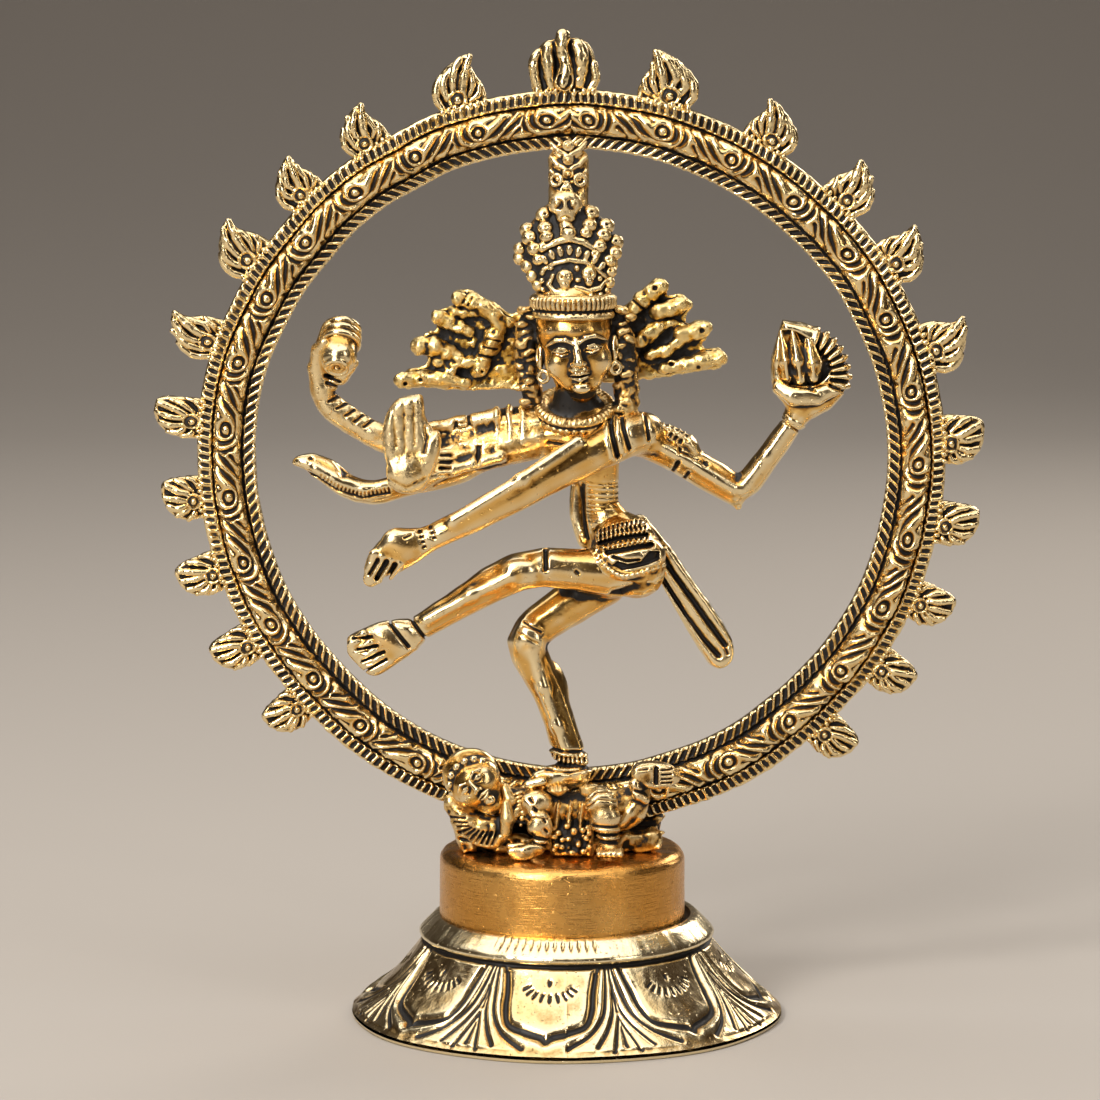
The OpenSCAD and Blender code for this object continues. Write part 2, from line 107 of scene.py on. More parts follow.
def bumps(shape, cell, seed):
    """Smooth random field between about -1 and 1, one bump per cell grid cells."""
    rng = np.random.default_rng(seed)
    small = [max(2, int(n / cell) + 3) for n in shape]
    F = rng.uniform(-1, 1, small).astype(np.float32)
    for ax, n in enumerate(shape):
        t = np.arange(n) / cell
        i = np.minimum(t.astype(int), small[ax] - 2)
        f = (t - i).astype(np.float32)
        f = f * f * (3 - 2 * f)
        sh = [1] * len(shape)
        sh[ax] = n
        f = f.reshape(sh)
        F = np.take(F, i, ax) * (1 - f) + np.take(F, i + 1, ax) * f
    return F


def cad_field(nodes, lo, shape, h):
    """Distance to the union of some CAD nodes, on a grid."""
    out = np.full(shape, FAR, np.float32)
    for n in nodes:
        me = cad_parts[n].data
        me.calc_loop_triangles()
        V = np.empty(len(me.vertices) * 3, np.float32)
        me.vertices.foreach_get("co", V)
        T = np.empty(len(me.loop_triangles) * 3, np.int32)
        me.loop_triangles.foreach_get("vertices", T)
        V = V.reshape(-1, 3)
        uniq, inv = np.unique(np.round(V, 7), axis=0, return_inverse=True)
        T = inv.reshape(-1)[T].reshape(-1, 3)
        T = T[(T[:, 0] != T[:, 1]) & (T[:, 1] != T[:, 2]) & (T[:, 0] != T[:, 2])]
        V = uniq / MM
        g = vdb.FloatGrid.createLevelSetFromPolygons(
            V.astype(np.float32), triangles=T.astype(np.uint32),
            transform=vdb.createLinearTransform(voxelSize=h), halfWidth=REACH)
        A = np.empty(shape, np.float32)
        g.copyToArray(A, ijk=tuple(int(round(v / h)) for v in lo))
        out = np.minimum(out, A)
    return out


class Clay:
    """A signed distance field on a grid of cells h wide: below zero in the metal."""

    def __init__(self, lo, hi, h):
        self.h = h
        self.lo = np.floor(np.array(lo, float) / h) * h
        self.n = tuple(int(v) for v in np.ceil((np.array(hi) - self.lo) / h).astype(int) + 1)
        self.D = np.full(self.n, FAR, np.float32)
        self.ax = [(self.lo[i] + h * np.arange(self.n[i])).astype(np.float32) for i in range(3)]
        self.near = None
        self.clear_marks()

    @classmethod
    def of(cls, node, h=0.2, pad=1.4, lo=None, hi=None, smooth=0.5):
        """A CAD node as clay; lo and hi make room past its box, smooth rounds its edges."""
        a, b = cad(node)
        a = a - pad if lo is None else np.minimum(a - pad, lo)
        b = b + pad if hi is None else np.maximum(b + pad, hi)
        c = cls(a, b, h)
        c.node = node
        c.D = cad_field([node], c.lo, c.n, h)
        if smooth:
            c.D = blur(c.D, smooth / h)
        return c

    def win(self, lo, hi):
        """The slices of the grid between two corners, and their coordinates."""
        s, xyz = [], []
        for i in range(3):
            a = int(np.clip(floor((lo[i] - self.lo[i]) / self.h), 0, self.n[i] - 1))
            b = int(np.clip(ceil((hi[i] - self.lo[i]) / self.h) + 1, a + 1, self.n[i]))
            s.append(slice(a, b))
            sh = [1, 1, 1]
            sh[i] = b - a
            xyz.append(self.ax[i][a:b].reshape(sh))
        return tuple(s), xyz

    def round(self, c, reach):
        """The window within reach of c, and its coordinates measured from c."""
        w, (X, Y, Z) = self.win(np.array(c) - reach, np.array(c) + reach)
        return w, X - c[0], Y - c[1], Z - c[2]

    def put(self, d, w, k, cut=False):
        """Adds the field d to the window w, or cuts it out."""
        self.D[w] = smax(self.D[w], -d, k) if cut else smin(self.D[w], d, k)

    def seg(self, a, b, ra, rb=None, k=0.4, cut=False, flat=1.0):
        """Round cone from a to b; flat below 1 squashes it along y by that factor."""
        rb = ra if rb is None else rb
        a, b = np.array(a, float), np.array(b, float)
        m = max(ra, rb) + k + 0.8
        w, (X, Y, Z) = self.win(np.minimum(a, b) - m, np.maximum(a, b) + m)
        f = 1.0 / flat
        d = (b - a) * [1, f, 1]
        L = float(d @ d) + 1e-9
        px, py, pz = X - a[0], (Y - a[1]) * f, Z - a[2]
        t = np.clip((px * d[0] + py * d[1] + pz * d[2]) / L, 0, 1)
        r = np.sqrt((px - t * d[0]) ** 2 + (py - t * d[1]) ** 2 + (pz - t * d[2]) ** 2)
        self.put(r - (ra + (rb - ra) * t), w, k, cut)

    def chain(self, pts, radii, k=0.4, **kw):
        """Round cones through pts."""
        for i in range(len(pts) - 1):
            self.seg(pts[i], pts[i + 1], radii[i], radii[i + 1], k, **kw)

    def ell(self, c, r, k=0.5, turn=0.0, tilt=0.0, cut=False):
        """Ellipsoid; turn is about y (clockwise as the viewer sees it), tilt about x."""
        w, x, y, z = self.round(c, max(r) + k + 0.8)
        ct, st = cos(radians(turn)), sin(radians(turn))
        x, z = x * ct - z * st, x * st + z * ct
        ca, sa = cos(radians(tilt)), sin(radians(tilt))
        y, z = y * ca + z * sa, -y * sa + z * ca
        k0 = np.sqrt((x / r[0]) ** 2 + (y / r[1]) ** 2 + (z / r[2]) ** 2)
        k1 = np.sqrt((x / r[0] ** 2) ** 2 + (y / r[1] ** 2) ** 2 + (z / r[2] ** 2) ** 2)
        self.put(k0 * (k0 - 1) / np.maximum(k1, 1e-4), w, k, cut)

    def hoop(self, c, R, r, normal=(0, 1, 0), k=0.2, cut=False):
        """Torus of radii R and r round c."""
        n = np.array(normal, float)
        n /= np.linalg.norm(n)
        w, x, y, z = self.round(c, R + r + k + 0.6)
        t = x * n[0] + y * n[1] + z * n[2]
        q = np.sqrt(np.maximum(x * x + y * y + z * z - t * t, 0))
        self.put(np.sqrt((q - R) ** 2 + t * t) - r, w, k, cut)

    def band(self, c, axis, reach, marks):
        """Rings round a limb at c. marks are (place along axis, half width, height)."""
        n = np.array(axis, float)
        n /= np.linalg.norm(n)
        w, x, y, z = self.round(c, reach)
        t = x * n[0] + y * n[1] + z * n[2]
        q = np.sqrt(x * x + y * y + z * z)
        fade = 1 - step(q, reach * 0.8, reach)
        for place, half, height in marks:
            self.D[w] -= height * np.exp(-((t - place) / half) ** 2) * fade

    def clear_marks(self):
        self.down = np.zeros((self.n[0], self.n[2]), np.float32)
        self.up = self.down.copy()

    def cut(self, pts, w=0.32, depth=0.55):
        """Chased line in the x-z plane; press() sinks it into the surface."""
        self.down = np.maximum(self.down, depth * ridge(along(*self.plan(), pts), w))

    def lift(self, pts, w=0.4, height=0.35):
        """Raised line in the x-z plane; press() puts it on the surface."""
        self.up = np.maximum(self.up, height * ridge(along(*self.plan(), pts), w))

    def ticks(self, pts, pitch, length, w=0.22, depth=0.4, slant=0.0, shift=0.0):
        """Short chased strokes across a line, one each pitch."""
        P = np.array(curve(pts, 8))
        run = run_along(P)
        for s in np.arange(pitch / 2 + shift, run[-1], pitch):
            i = min(np.searchsorted(run, s), len(P) - 1)
            t = (P[i] - P[i - 1]) / max(run[i] - run[i - 1], 1e-6)
            n = np.array([-t[1], t[0]]) + slant * t
            at = np.array([np.interp(s, run, P[:, 0]), np.interp(s, run, P[:, 1])])
            self.cut([tuple(at - n * length / 2), tuple(at + n * length / 2)], w, depth)

    def press(self, y0, y1):
        """Stamps the lines drawn since the last press."""
        self.stamp(self.up - self.down, y0, y1)
        self.clear_marks()

    def stamp(self, H, y0, y1):
        """Raises the surface by H(x, z) on y0's side, fading out at y1: the near side where y0 < y1."""
        m = 1 - step(self.ax[1], y0, y1)
        if y1 < y0:
            m = step(self.ax[1], y1, y0)
        self.swell(H[:, None, :] * m[None, :, None])

    def plan(self):
        """Coordinates of the x-z plane."""
        return self.ax[0][:, None], self.ax[2][None, :]

    def grid(self):
        """Coordinates of the whole grid."""
        x, y, z = self.ax
        return x[:, None, None], y[None, :, None], z[None, None, :]

    def swell(self, height):
        """Raises the whole surface by height, a field over the grid."""
        self.D -= height.astype(np.float32)

    def slab(self, pts, y0, y1, edge=0.8, k=0.4, cut=False):
        """A plate with rounded edges: the outline pts in x and z, between y0 and y1."""
        X, Z = self.plan()
        d = within(X, Z, pts)[:, None, :] + edge
        dy = (np.abs(self.ax[1] - (y0 + y1) / 2) - abs(y1 - y0) / 2 + edge)[None, :, None]
        d = np.minimum(np.maximum(d, dy), 0) + np.hypot(np.maximum(d, 0), np.maximum(dy, 0)) - edge
        self.D = smax(self.D, -d, k) if cut else smin(self.D, d, k)

    def rough(self, amount, cell, seed):
        """The unevenness of a hand-worked cast, in bumps of cell mm."""
        self.D += np.float32(amount) * bumps(self.n, cell / self.h, seed)

    def fillet(self, nodes, k):
        """Builds a small fillet of metal against neighbouring nodes."""
        N = cad_field(nodes, self.lo, self.n, self.h)
        self.D = np.maximum(smin(self.D, N, k), self.D - 0.9 * k)
        self.near = N

    def mesh(self):
        """Vertices, faces and how hollow the surface is at each vertex."""
        D = self.D.copy()
        for ax in range(3):
            sl = [slice(None)] * 3
            for e in (0, -1):
                sl[ax] = e
                D[tuple(sl)] = np.maximum(D[tuple(sl)], CLOSED)
                sl[ax] = slice(None)
        g = vdb.FloatGrid(OUTSIDE)
        g.copyFromArray(D)
        pts, quads = g.convertToQuads()
        P = np.asarray(pts, np.float32)
        around = D if self.near is None else np.minimum(D, self.near)
        fine = blur(np.clip(D, -2, 2), FINE / self.h)
        wide = blur(np.clip(around, -2, 2)[::2, ::2, ::2], WIDE / (2 * self.h))
        hollow = -sample(fine, P) / FINE_DEPTH - sample(wide, P / 2) / WIDE_DEPTH
        return P * self.h + self.lo, np.asarray(quads, np.int64)[:, ::-1], hollow


def sample(F, P):
    """Trilinear values of F at P, in cells."""
    n = np.array(F.shape)
    Q = np.clip(P, 0, n - 1.001)
    i = Q.astype(int)
    f = Q - i
    out = 0
    for dx in (0, 1):
        for dy in (0, 1):
            for dz in (0, 1):
                w = (f[:, 0] if dx else 1 - f[:, 0]) * (f[:, 1] if dy else 1 - f[:, 1]) \
                    * (f[:, 2] if dz else 1 - f[:, 2])
                out = out + w * F[i[:, 0] + dx, i[:, 1] + dy, i[:, 2] + dz]
    return out


# ---------------------------------------------------------------- marks in a plane

def along(X, Z, pts):
    """Distance from each point of a plane to a polyline."""
    d = np.full(np.broadcast(X, Z).shape, LONG_WAY, np.float32)
    for (ax, az), (bx, bz) in zip(pts[:-1], pts[1:]):
        ux, uz = bx - ax, bz - az
        t = np.clip(((X - ax) * ux + (Z - az) * uz) / (ux * ux + uz * uz + 1e-9), 0, 1)
        d = np.minimum(d, np.hypot(X - ax - t * ux, Z - az - t * uz))
    return d


def run_along(P):
    """Length along a polyline, at each of its points."""
    return np.concatenate([[0], np.cumsum(np.hypot(*np.diff(P, axis=0).T))])


def ridge(d, w):
    """Profile of a line w wide, by the distance d from it."""
    return np.exp(-(d / w) ** 2)


def within(X, Z, pts):
    """Signed distance to a closed outline, below zero inside it."""
    loop = list(pts) + [pts[0]]
    odd = np.zeros(np.broadcast(X, Z).shape, bool)
    for (ax, az), (bx, bz) in zip(loop[:-1], loop[1:]):
        if az != bz:
            odd ^= ((az > Z) != (bz > Z)) & (X < (bx - ax) * (Z - az) / (bz - az) + ax)
    d = along(X, Z, loop)
    return np.where(odd, -d, d)


def curve(pts, n=6):
    """Catmull-Rom points through pts."""
    P = np.array(pts, float)
    P = np.vstack([2 * P[0] - P[1], P, 2 * P[-1] - P[-2]])
    out = []
    for i in range(1, len(P) - 2):
        a, b, c, d = P[i - 1:i + 3]
        for t in np.arange(n) / n:
            out.append(0.5 * (2 * b + (c - a) * t + (2 * a - 5 * b + 4 * c - d) * t * t
                              + (3 * b - a - 3 * c + d) * t ** 3))
    out.append(P[-2])
    return [tuple(p) for p in out]


# ---------------------------------------------------------------- materials

def material(name, gold, dark, bias, spread, rough_hi, rough_lo, speckle, grain,
             scratch=0.0, tint=None, polish_highlight=0.6):
    """Brass whose hollows keep a dark patina. bias and spread place the patina's edge in the hollows;
    speckle breaks it up; grain is the bump of the cast skin; scratch the file and buffing marks."""
    m = bpy.data.materials.new(name)
    m.use_nodes = True
    t = m.node_tree
    N, L = t.nodes, t.links
    bsdf = N["Principled BSDF"]
    co = N.new("ShaderNodeTexCoord")

    def noise(scale, detail, rough, stretch=None):
        n = N.new("ShaderNodeTexNoise")
        n.inputs["Scale"].default_value = scale
        n.inputs["Detail"].default_value = detail
        n.inputs["Roughness"].default_value = rough
        if stretch:
            mp = N.new("ShaderNodeMapping")
            mp.inputs["Scale"].default_value = stretch
            L.new(co.outputs["Object"], mp.inputs["Vector"])
            L.new(mp.outputs["Vector"], n.inputs["Vector"])
        else:
            L.new(co.outputs["Object"], n.inputs["Vector"])
        return n.outputs["Fac"]

    def calc(op, a, b, c=None):
        n = N.new("ShaderNodeMath")
        n.operation = op
        for i, v in enumerate((a, b, c)):
            if v is None:
                continue
            if isinstance(v, (int, float)):
                n.inputs[i].default_value = v
            else:
                L.new(v, n.inputs[i])
        return n.outputs[0]

    def span(v, a, b, c=0.0, d=1.0, smooth=True):
        n = N.new("ShaderNodeMapRange")
        n.interpolation_type = "SMOOTHSTEP" if smooth else "LINEAR"
        L.new(v, n.inputs["Value"])
        for key, x in zip(("From Min", "From Max", "To Min", "To Max"), (a, b, c, d)):
            n.inputs[key].default_value = x
        return n.outputs["Result"]

    def mix(f, a, b):
        n = N.new("ShaderNodeMix")
        n.data_type = "RGBA"
        L.new(f, n.inputs["Factor"])
        for key, v in ((MIX_A, a), (MIX_B, b)):
            if isinstance(v, tuple):
                n.inputs[key].default_value = (*v, 1)
            else:
                L.new(v, n.inputs[key])
        return n.outputs[MIX_OUT]

    # hollow holds the surface's hollowness for the patina, and also the spots of painted shade and painted
    # highlight that cast adds
    at = N.new("ShaderNodeAttribute")
    at.attribute_name = "hollow"
    hollow = at.outputs["Fac"]
    fine = noise(1900, 3, 0.6)
    blotch = noise(260, 4, 0.62)
    broad = noise(60, 3, 0.5)
    # the patina: hollows first, with ragged edges, then specks left on the open metal
    lift = calc("MULTIPLY_ADD", calc("SUBTRACT", fine, 0.5), speckle * 1.4, hollow)
    lift = calc("MULTIPLY_ADD", calc("SUBTRACT", blotch, 0.5), speckle * 1.6, lift)
    lift = calc("MULTIPLY_ADD", calc("SUBTRACT", broad, 0.5), speckle * 0.8, lift)
    patina = span(lift, bias, bias + spread)
    warm = tuple(c * k for c, k in zip(gold, (0.93, 0.80, 0.58)))
    # raised parts turn paler: partly the polish that wear gives raised brass, partly a painted highlight that
    # whitens them
    polish_highlight_colour = tuple(c + (p - c) * polish_highlight for c, p in zip(gold, (0.96, 0.82, 0.52)))
    metal = mix(span(broad, 0.3, 0.72), warm, gold)
    metal = mix(span(hollow, -0.25, -1.3), metal, polish_highlight_colour)
    if tint:
        metal = mix(span(noise(34, 2, 0.5), 0.48, 0.68), metal, tint)
    halo = span(lift, bias - 0.55 * spread - 0.25, bias + 0.3 * spread)
    brown = tuple(c * k for c, k in zip(gold, (0.5, 0.38, 0.22)))
    metal = mix(halo, metal, brown)
    L.new(mix(patina, metal, dark), bsdf.inputs["Base Color"])
    L.new(calc("MULTIPLY_ADD", patina, -0.75, 1), bsdf.inputs["Metallic"])
    wear = span(noise(420, 5, 0.7), 0.3, 0.75, rough_lo, rough_hi)
    L.new(calc("MULTIPLY_ADD", patina, 0.3, wear), bsdf.inputs["Roughness"])
    height = calc("MULTIPLY_ADD", noise(900, 4, 0.65), grain, calc("MULTIPLY", blotch, grain * 1.5))
    if scratch:
        lines = noise(240, 3, 0.6, (1, 1, 16))
        height = calc("MULTIPLY_ADD", lines, scratch, height)
    pit = span(noise(1300, 2, 0.5), 0.66, 0.74, 0, -grain * 2)
    height = calc("ADD", height, pit)
    b = N.new("ShaderNodeBump")
    b.inputs["Distance"].default_value = 0.0002
    b.inputs["Strength"].default_value = 1.0
    L.new(height, b.inputs["Height"])
    L.new(b.outputs["Normal"], bsdf.inputs["Normal"])
    return m


DARK = (0.010, 0.008, 0.007)
# name, gold, dark, bias, spread, rough_hi, rough_lo, speckle, grain and the rest
M = {key: material(*row, **more) for key, row, more in (
    ("ring", ("ring_brass", (0.87, 0.61, 0.23), DARK, 0.03, 0.4, 0.32, 0.15, 0.7, 0.3), {}),
    ("base", ("lotus_base_brass", (0.94, 0.79, 0.50), DARK, 0.24, 0.42, 0.3, 0.15, 0.35, 0.25),
     {"polish_highlight": 0.8}),
    ("drum", ("turned_drum_brass", (0.80, 0.45, 0.13), (0.03, 0.02, 0.012), 0.9, 0.5, 0.34, 0.22, 0.4, 0.12),
     {"scratch": 0.5, "tint": (0.68, 0.36, 0.09), "polish_highlight": 0.1}),
    ("figure", ("figure_brass", (0.86, 0.56, 0.185), DARK, 0.34, 0.45, 0.3, 0.14, 0.5, 0.22),
     {"polish_highlight": 0.8}),
    ("aged", ("aged_brass", (0.85, 0.58, 0.22), DARK, 0.04, 0.42, 0.38, 0.2, 1.1, 0.5), {}),
    ("rough", ("rough_brass", (0.88, 0.60, 0.15), DARK, -0.08, 0.42, 0.42, 0.24, 1.1, 0.8),
     {"polish_highlight": 0.4}),
    ("dwarf", ("dwarf_brass", (0.78, 0.53, 0.22), DARK, -0.03, 0.42, 0.36, 0.18, 1.1, 0.4),
     {"polish_highlight": 0.5}),
    ("rough_dark", ("dark_brass", (0.78, 0.53, 0.2), DARK, -0.3, 0.42, 0.42, 0.24, 1.4, 0.6),
     {"polish_highlight": 0.2}),
    ("steel", ("fixing_steel", (0.5, 0.49, 0.47), (0.1, 0.07, 0.05), 0.5, 0.6, 0.5, 0.35, 0.5, 0.2),
     {"polish_highlight": 0}),
)}


def piece(name, node, mat, V, F, hollow):
    """Writes a mesh in place of a CAD node; V in mm, hollow steers the patina, the paler raised parts and the
    painted shade and highlight spots.
    """
    me = bpy.data.meshes.new(name)
    F = np.asarray(F)
    me.vertices.add(len(V))
    me.vertices.foreach_set("co", (np.asarray(V, np.float32) * MM).ravel())
    k = F.shape[1]
    me.loops.add(F.size)
    me.loops.foreach_set("vertex_index", F.astype(np.int32).ravel())
    me.polygons.add(len(F))
    me.polygons.foreach_set("loop_start", np.arange(0, F.size, k, dtype=np.int32))
    me.polygons.foreach_set("use_smooth", np.ones(len(F), bool))
    me.update(calc_edges=True)
    at = me.attributes.new("hollow", "FLOAT", "POINT")
    at.data.foreach_set("value", np.clip(hollow, -3, 3).astype(np.float32))
    me.materials.append(M[mat])
    ob = bpy.data.objects.new(name, me)
    bpy.context.scene.collection.objects.link(ob)
    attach(ob, "root")
    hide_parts(node)


def cast(clay, mat, patina_shade_spots=(), darkening=0.0):
    """Writes the clay's piece. The last argument darkens the whole piece, below zero it lightens it; on the
    dwarf's pieces that darkening is painted shade. The spots add dark round points, mostly on the front half,
    which is patina in some places and painted shade in others, and a spot below zero takes dark away, in
    places as a painted highlight: (x, z, reach in x, reach in z, amount)."""
    V, F, hollow = clay.mesh()
    mid_y = (V[:, 1].min() + V[:, 1].max()) / 2
    front = 1 - 0.75 * step(V[:, 1], mid_y - 0.5, mid_y + 1)
    hollow = hollow + darkening
    for x, z, rx, rz, amount in patina_shade_spots:
        near = np.exp(-((V[:, 0] - x) / rx) ** 2 - ((V[:, 2] - z) / rz) ** 2)
        hollow = hollow + front * amount * near
    piece("cast_" + clay.node, clay.node, mat, V, F, hollow)


# ---------------------------------------------------------------- grids with a chased relief

def grid_normals(P, wrap_v):
    """Unit normals of a grid of points that closes round its first axis, and its second if wrap_v."""
    def diff(A, ax, wrap):
        if wrap:
            return np.roll(A, -1, ax) - np.roll(A, 1, ax)
        return np.gradient(A, axis=ax)
    n = np.cross(diff(P, 0, True), diff(P, 1, wrap_v))
    return n / np.maximum(np.linalg.norm(n, axis=2, keepdims=True), 1e-9)


def soften(P, passes, wrap_v):
    """The grid with its relief smoothed away."""
    for _ in range(passes):
        P = (np.roll(P, 1, 0) + 2 * P + np.roll(P, -1, 0)) / 4
        if wrap_v:
            P = (np.roll(P, 1, 1) + 2 * P + np.roll(P, -1, 1)) / 4
        else:
            Q = P.copy()
            Q[:, 1:-1] = (P[:, :-2] + 2 * P[:, 1:-1] + P[:, 2:]) / 4
            P = Q
    return P


def grid_piece(node, mat, P, wrap_v, extra=0.0, gain=(9, 3), passes=(5, 30)):
    """P is (around, across, 3) and closes on itself round its first axis."""
    n = grid_normals(P, wrap_v)
    near = soften(P, passes[0], wrap_v)
    far = soften(near, passes[1], wrap_v)
    hollow = ((near - P) * n).sum(2) * gain[0] + ((far - P) * n).sum(2) * gain[1] + extra
    A, B = P.shape[:2]
    i = np.arange(A)[:, None] * B
    ip = (np.arange(A)[:, None] + 1) % A * B
    j = np.arange(B if wrap_v else B - 1)[None, :]
    jp = (j + 1) % B
    F = np.stack([i + j, ip + j, ip + jp, i + jp], 2).reshape(-1, 4)
    piece("cast_" + node, node, mat, P.reshape(-1, 3), F, hollow.ravel())


RING_R = 66.7  # the rim the flames stand on


def ring_drop(deg):
    """How far the hand-made ring strays from a true circle; deg from the top, below zero on the left."""
    at = [0, 50, 75, 95, 115, 132, 160, 180]
    return np.where(deg < 0, np.interp(-deg, at, [0, 0.3, 0.6, 0.2, -0.7, -1.4, -1.2, -1.0]),
                    np.interp(deg, at, [0, 0.1, 0.5, 0.3, -0.1, -0.6, -0.9, -1.0]))


def ring_centre():
    """The middle of the ring in x and z."""
    lo, hi = cad("ring_band")
    return (lo[0] + hi[0]) / 2, (lo[2] + hi[2]) / 2


def ring_band():
    """The ring: a chased rib between a roped inner flange and a barred outer rim."""
    cx, cz = ring_centre()
    around = 2300
    phi = np.linspace(0, 2 * np.pi, around, endpoint=False)
    right = phi < np.pi
    r_in, r_out, mid_r, half = 56.2, RING_R, 61.3, 2.45
    s = np.minimum(phi, 2 * np.pi - phi) * mid_r
    front = np.concatenate([
        np.linspace(r_in, 58.35, 10), [58.5, 58.7], np.linspace(58.85, 63.75, 25), [63.85, 64.0],
        np.linspace(64.2, r_out, 11)])
    rib = np.clip(1 - ((front - mid_r) / half) ** 2, 0, 1)
    y = np.where(rib > 0, -1.6 - 2.4 * rib ** 0.42, -1.15)
    y = np.where(front > 64.1, -1.5, y)
    y = np.where((front > 58.4) & (front < 58.8) | (front > 63.8) & (front < 64.1), -0.3, y)
    prof_r = np.concatenate([front, [r_out, r_out - 0.3, 64, 60, 58, r_in + 0.3, r_in, r_in]])
    prof_y = np.concatenate([y, [0.6, 2.1, 2.4, 2.4, 2.4, 2.1, 1, -0.2]])
    prof_y[0] = -0.8
    prof_y[len(front) - 1] = -1.1
    R, S = np.meshgrid(prof_r, s)
    isf = np.arange(len(prof_r)) < len(front)

    def along_ring(cell, seed):
        return bumps((around, 3), cell, seed)[:, :1]

    wob = along_ring(40, 3)
    warp = bumps(R.shape, 16, 31)
    Q = R - mid_r + 0.25 * bumps(R.shape, 18, 32)
    # one unit of the scroll runs down from the top on both sides, its eye at zero
    first = np.where(right, 2.8, 4.5)[:, None]
    pitch = np.where(right, 13.35, 12.2)[:, None]
    u = (S + 0.4 * wob + 0.3 * warp - first + 9.6) % pitch - 9.6
    marks = [
        ([(-6.6, 2.6), (-4.9, 0.9), (-2.8, -0.9), (-0.8, -2), (1.1, -1.7), (2.1, -0.5), (2.3, 0.9),
          (1.7, 2.6)], 0.5, 1),
        ([(-8.9, 2.6), (-7.1, 0.7), (-5, -1), (-3.2, -2.7)], 0.5, 1),
        ([(3.5, 2.4), (3.9, 0.5), (3.5, -1.2), (2.3, -2.6)], 0.42, 0.9),
        ([(-7.6, -0.6), (-6.6, -1.6), (-5.6, -2.7)], 0.36, 0.8),
        ([(-3.9, -2.2), (-4.1, -2.6)], 0.7, 0.9),
        ([(-1.8, -2.5), (-2, -2.6)], 0.5, 0.9),
        ([(-3.6, 2.3), (-1.9, 1.4)], 0.22, 0.5),
    ]
    H = np.zeros_like(R)
    close = np.full_like(R, 9)
    for pts, w, depth in marks:
        line = curve(pts, 4)
        d = np.minimum.reduce([along(u + shift, Q, line) for shift in (0, -pitch, pitch)])
        H = np.maximum(H, depth * ridge(d, w))
        close = np.minimum(close, d)
    e = np.hypot(u, Q - 0.1)
    H = np.maximum(H, ridge(e - 1, 0.3))
    close = np.minimum(close, np.abs(e - 1))
    H = 0.32 - 0.8 * H - 0.4 * ridge(close, 1)
    H *= (np.abs(R - mid_r) < half - 0.02) & isf[None, :]
    # slanting bars along the inner flange and short ones along the outer rim
    rope_pitch, bar_pitch = 1.92, 1.33
    worn = np.clip(0.8 + 0.5 * along_ring(50, 5), 0.25, 1.2)
    rope = np.cos(2 * np.pi * (S - 0.95 * (R - 57.3)) / rope_pitch + 0.9 * wob)
    on_in = isf[None, :] * step(R, 55.9, 56.2) * (1 - step(R, 58.3, 58.45))
    H += on_in * worn * (0.62 * step(rope, -0.1, 0.6) - 0.5)
    bars = np.cos(2 * np.pi * (S + 0.18 * (R - 65)) / bar_pitch + 1.6 * wob)
    on_out = isf[None, :] * step(R, 64.2, 64.5)
    grains = np.clip(0.9 + 0.5 * along_ring(7, 35), 0.3, 1.3)
    H += on_out * worn * grains * (0.66 * step(bars, -0.3, 0.5) * (1 - step(R, 65.9, 66.4)) - 0.42)
    H += 0.06 * bumps(R.shape, 14, 11) + 0.09 * bumps(R.shape, 5, 12) * isf[None, :]
    deg = np.degrees(np.where(right, phi, phi - 2 * np.pi))
    stray = ring_drop(deg)[:, None] + 0.18 * along_ring(45, 17)
    dr, dy = np.gradient(prof_r), np.gradient(prof_y)
    ln = np.hypot(dr, dy)
    R2 = R + stray + H * (dy / ln)[None, :] * 0.6
    Y = np.broadcast_to(prof_y[None, :], R.shape) - H * (dr / ln)[None, :]
    ang = phi[:, None]
    P = np.stack([cx + R2 * np.sin(ang), Y, cz + R2 * np.cos(ang)], 2)
    # old dirt on the lower arms of the ring, along its edges and in its back
    # darker along the edges, most on the lower arms; on the front the edges darker again, the inner edge
    # most, which is partly patina and partly painted shadow; lighter on the back; blotches on the front
    off = np.abs(R - mid_r)
    dark_edges_and_shade = 0.6 * step(s, 115, 160)[:, None] * (off > 2.2) - 0.35 * (~isf[None, :])
    dark_edges_and_shade = (dark_edges_and_shade + (0.35 + 0.25 * (R < mid_r)) * isf[None, :] * (off > 2.3)
            + 0.3 * bumps(R.shape, 30, 33) * isf[None, :])
    grid_piece("ring_band", "ring", P, True, extra=dark_edges_and_shade, gain=(8.5, 2), passes=(4, 14))


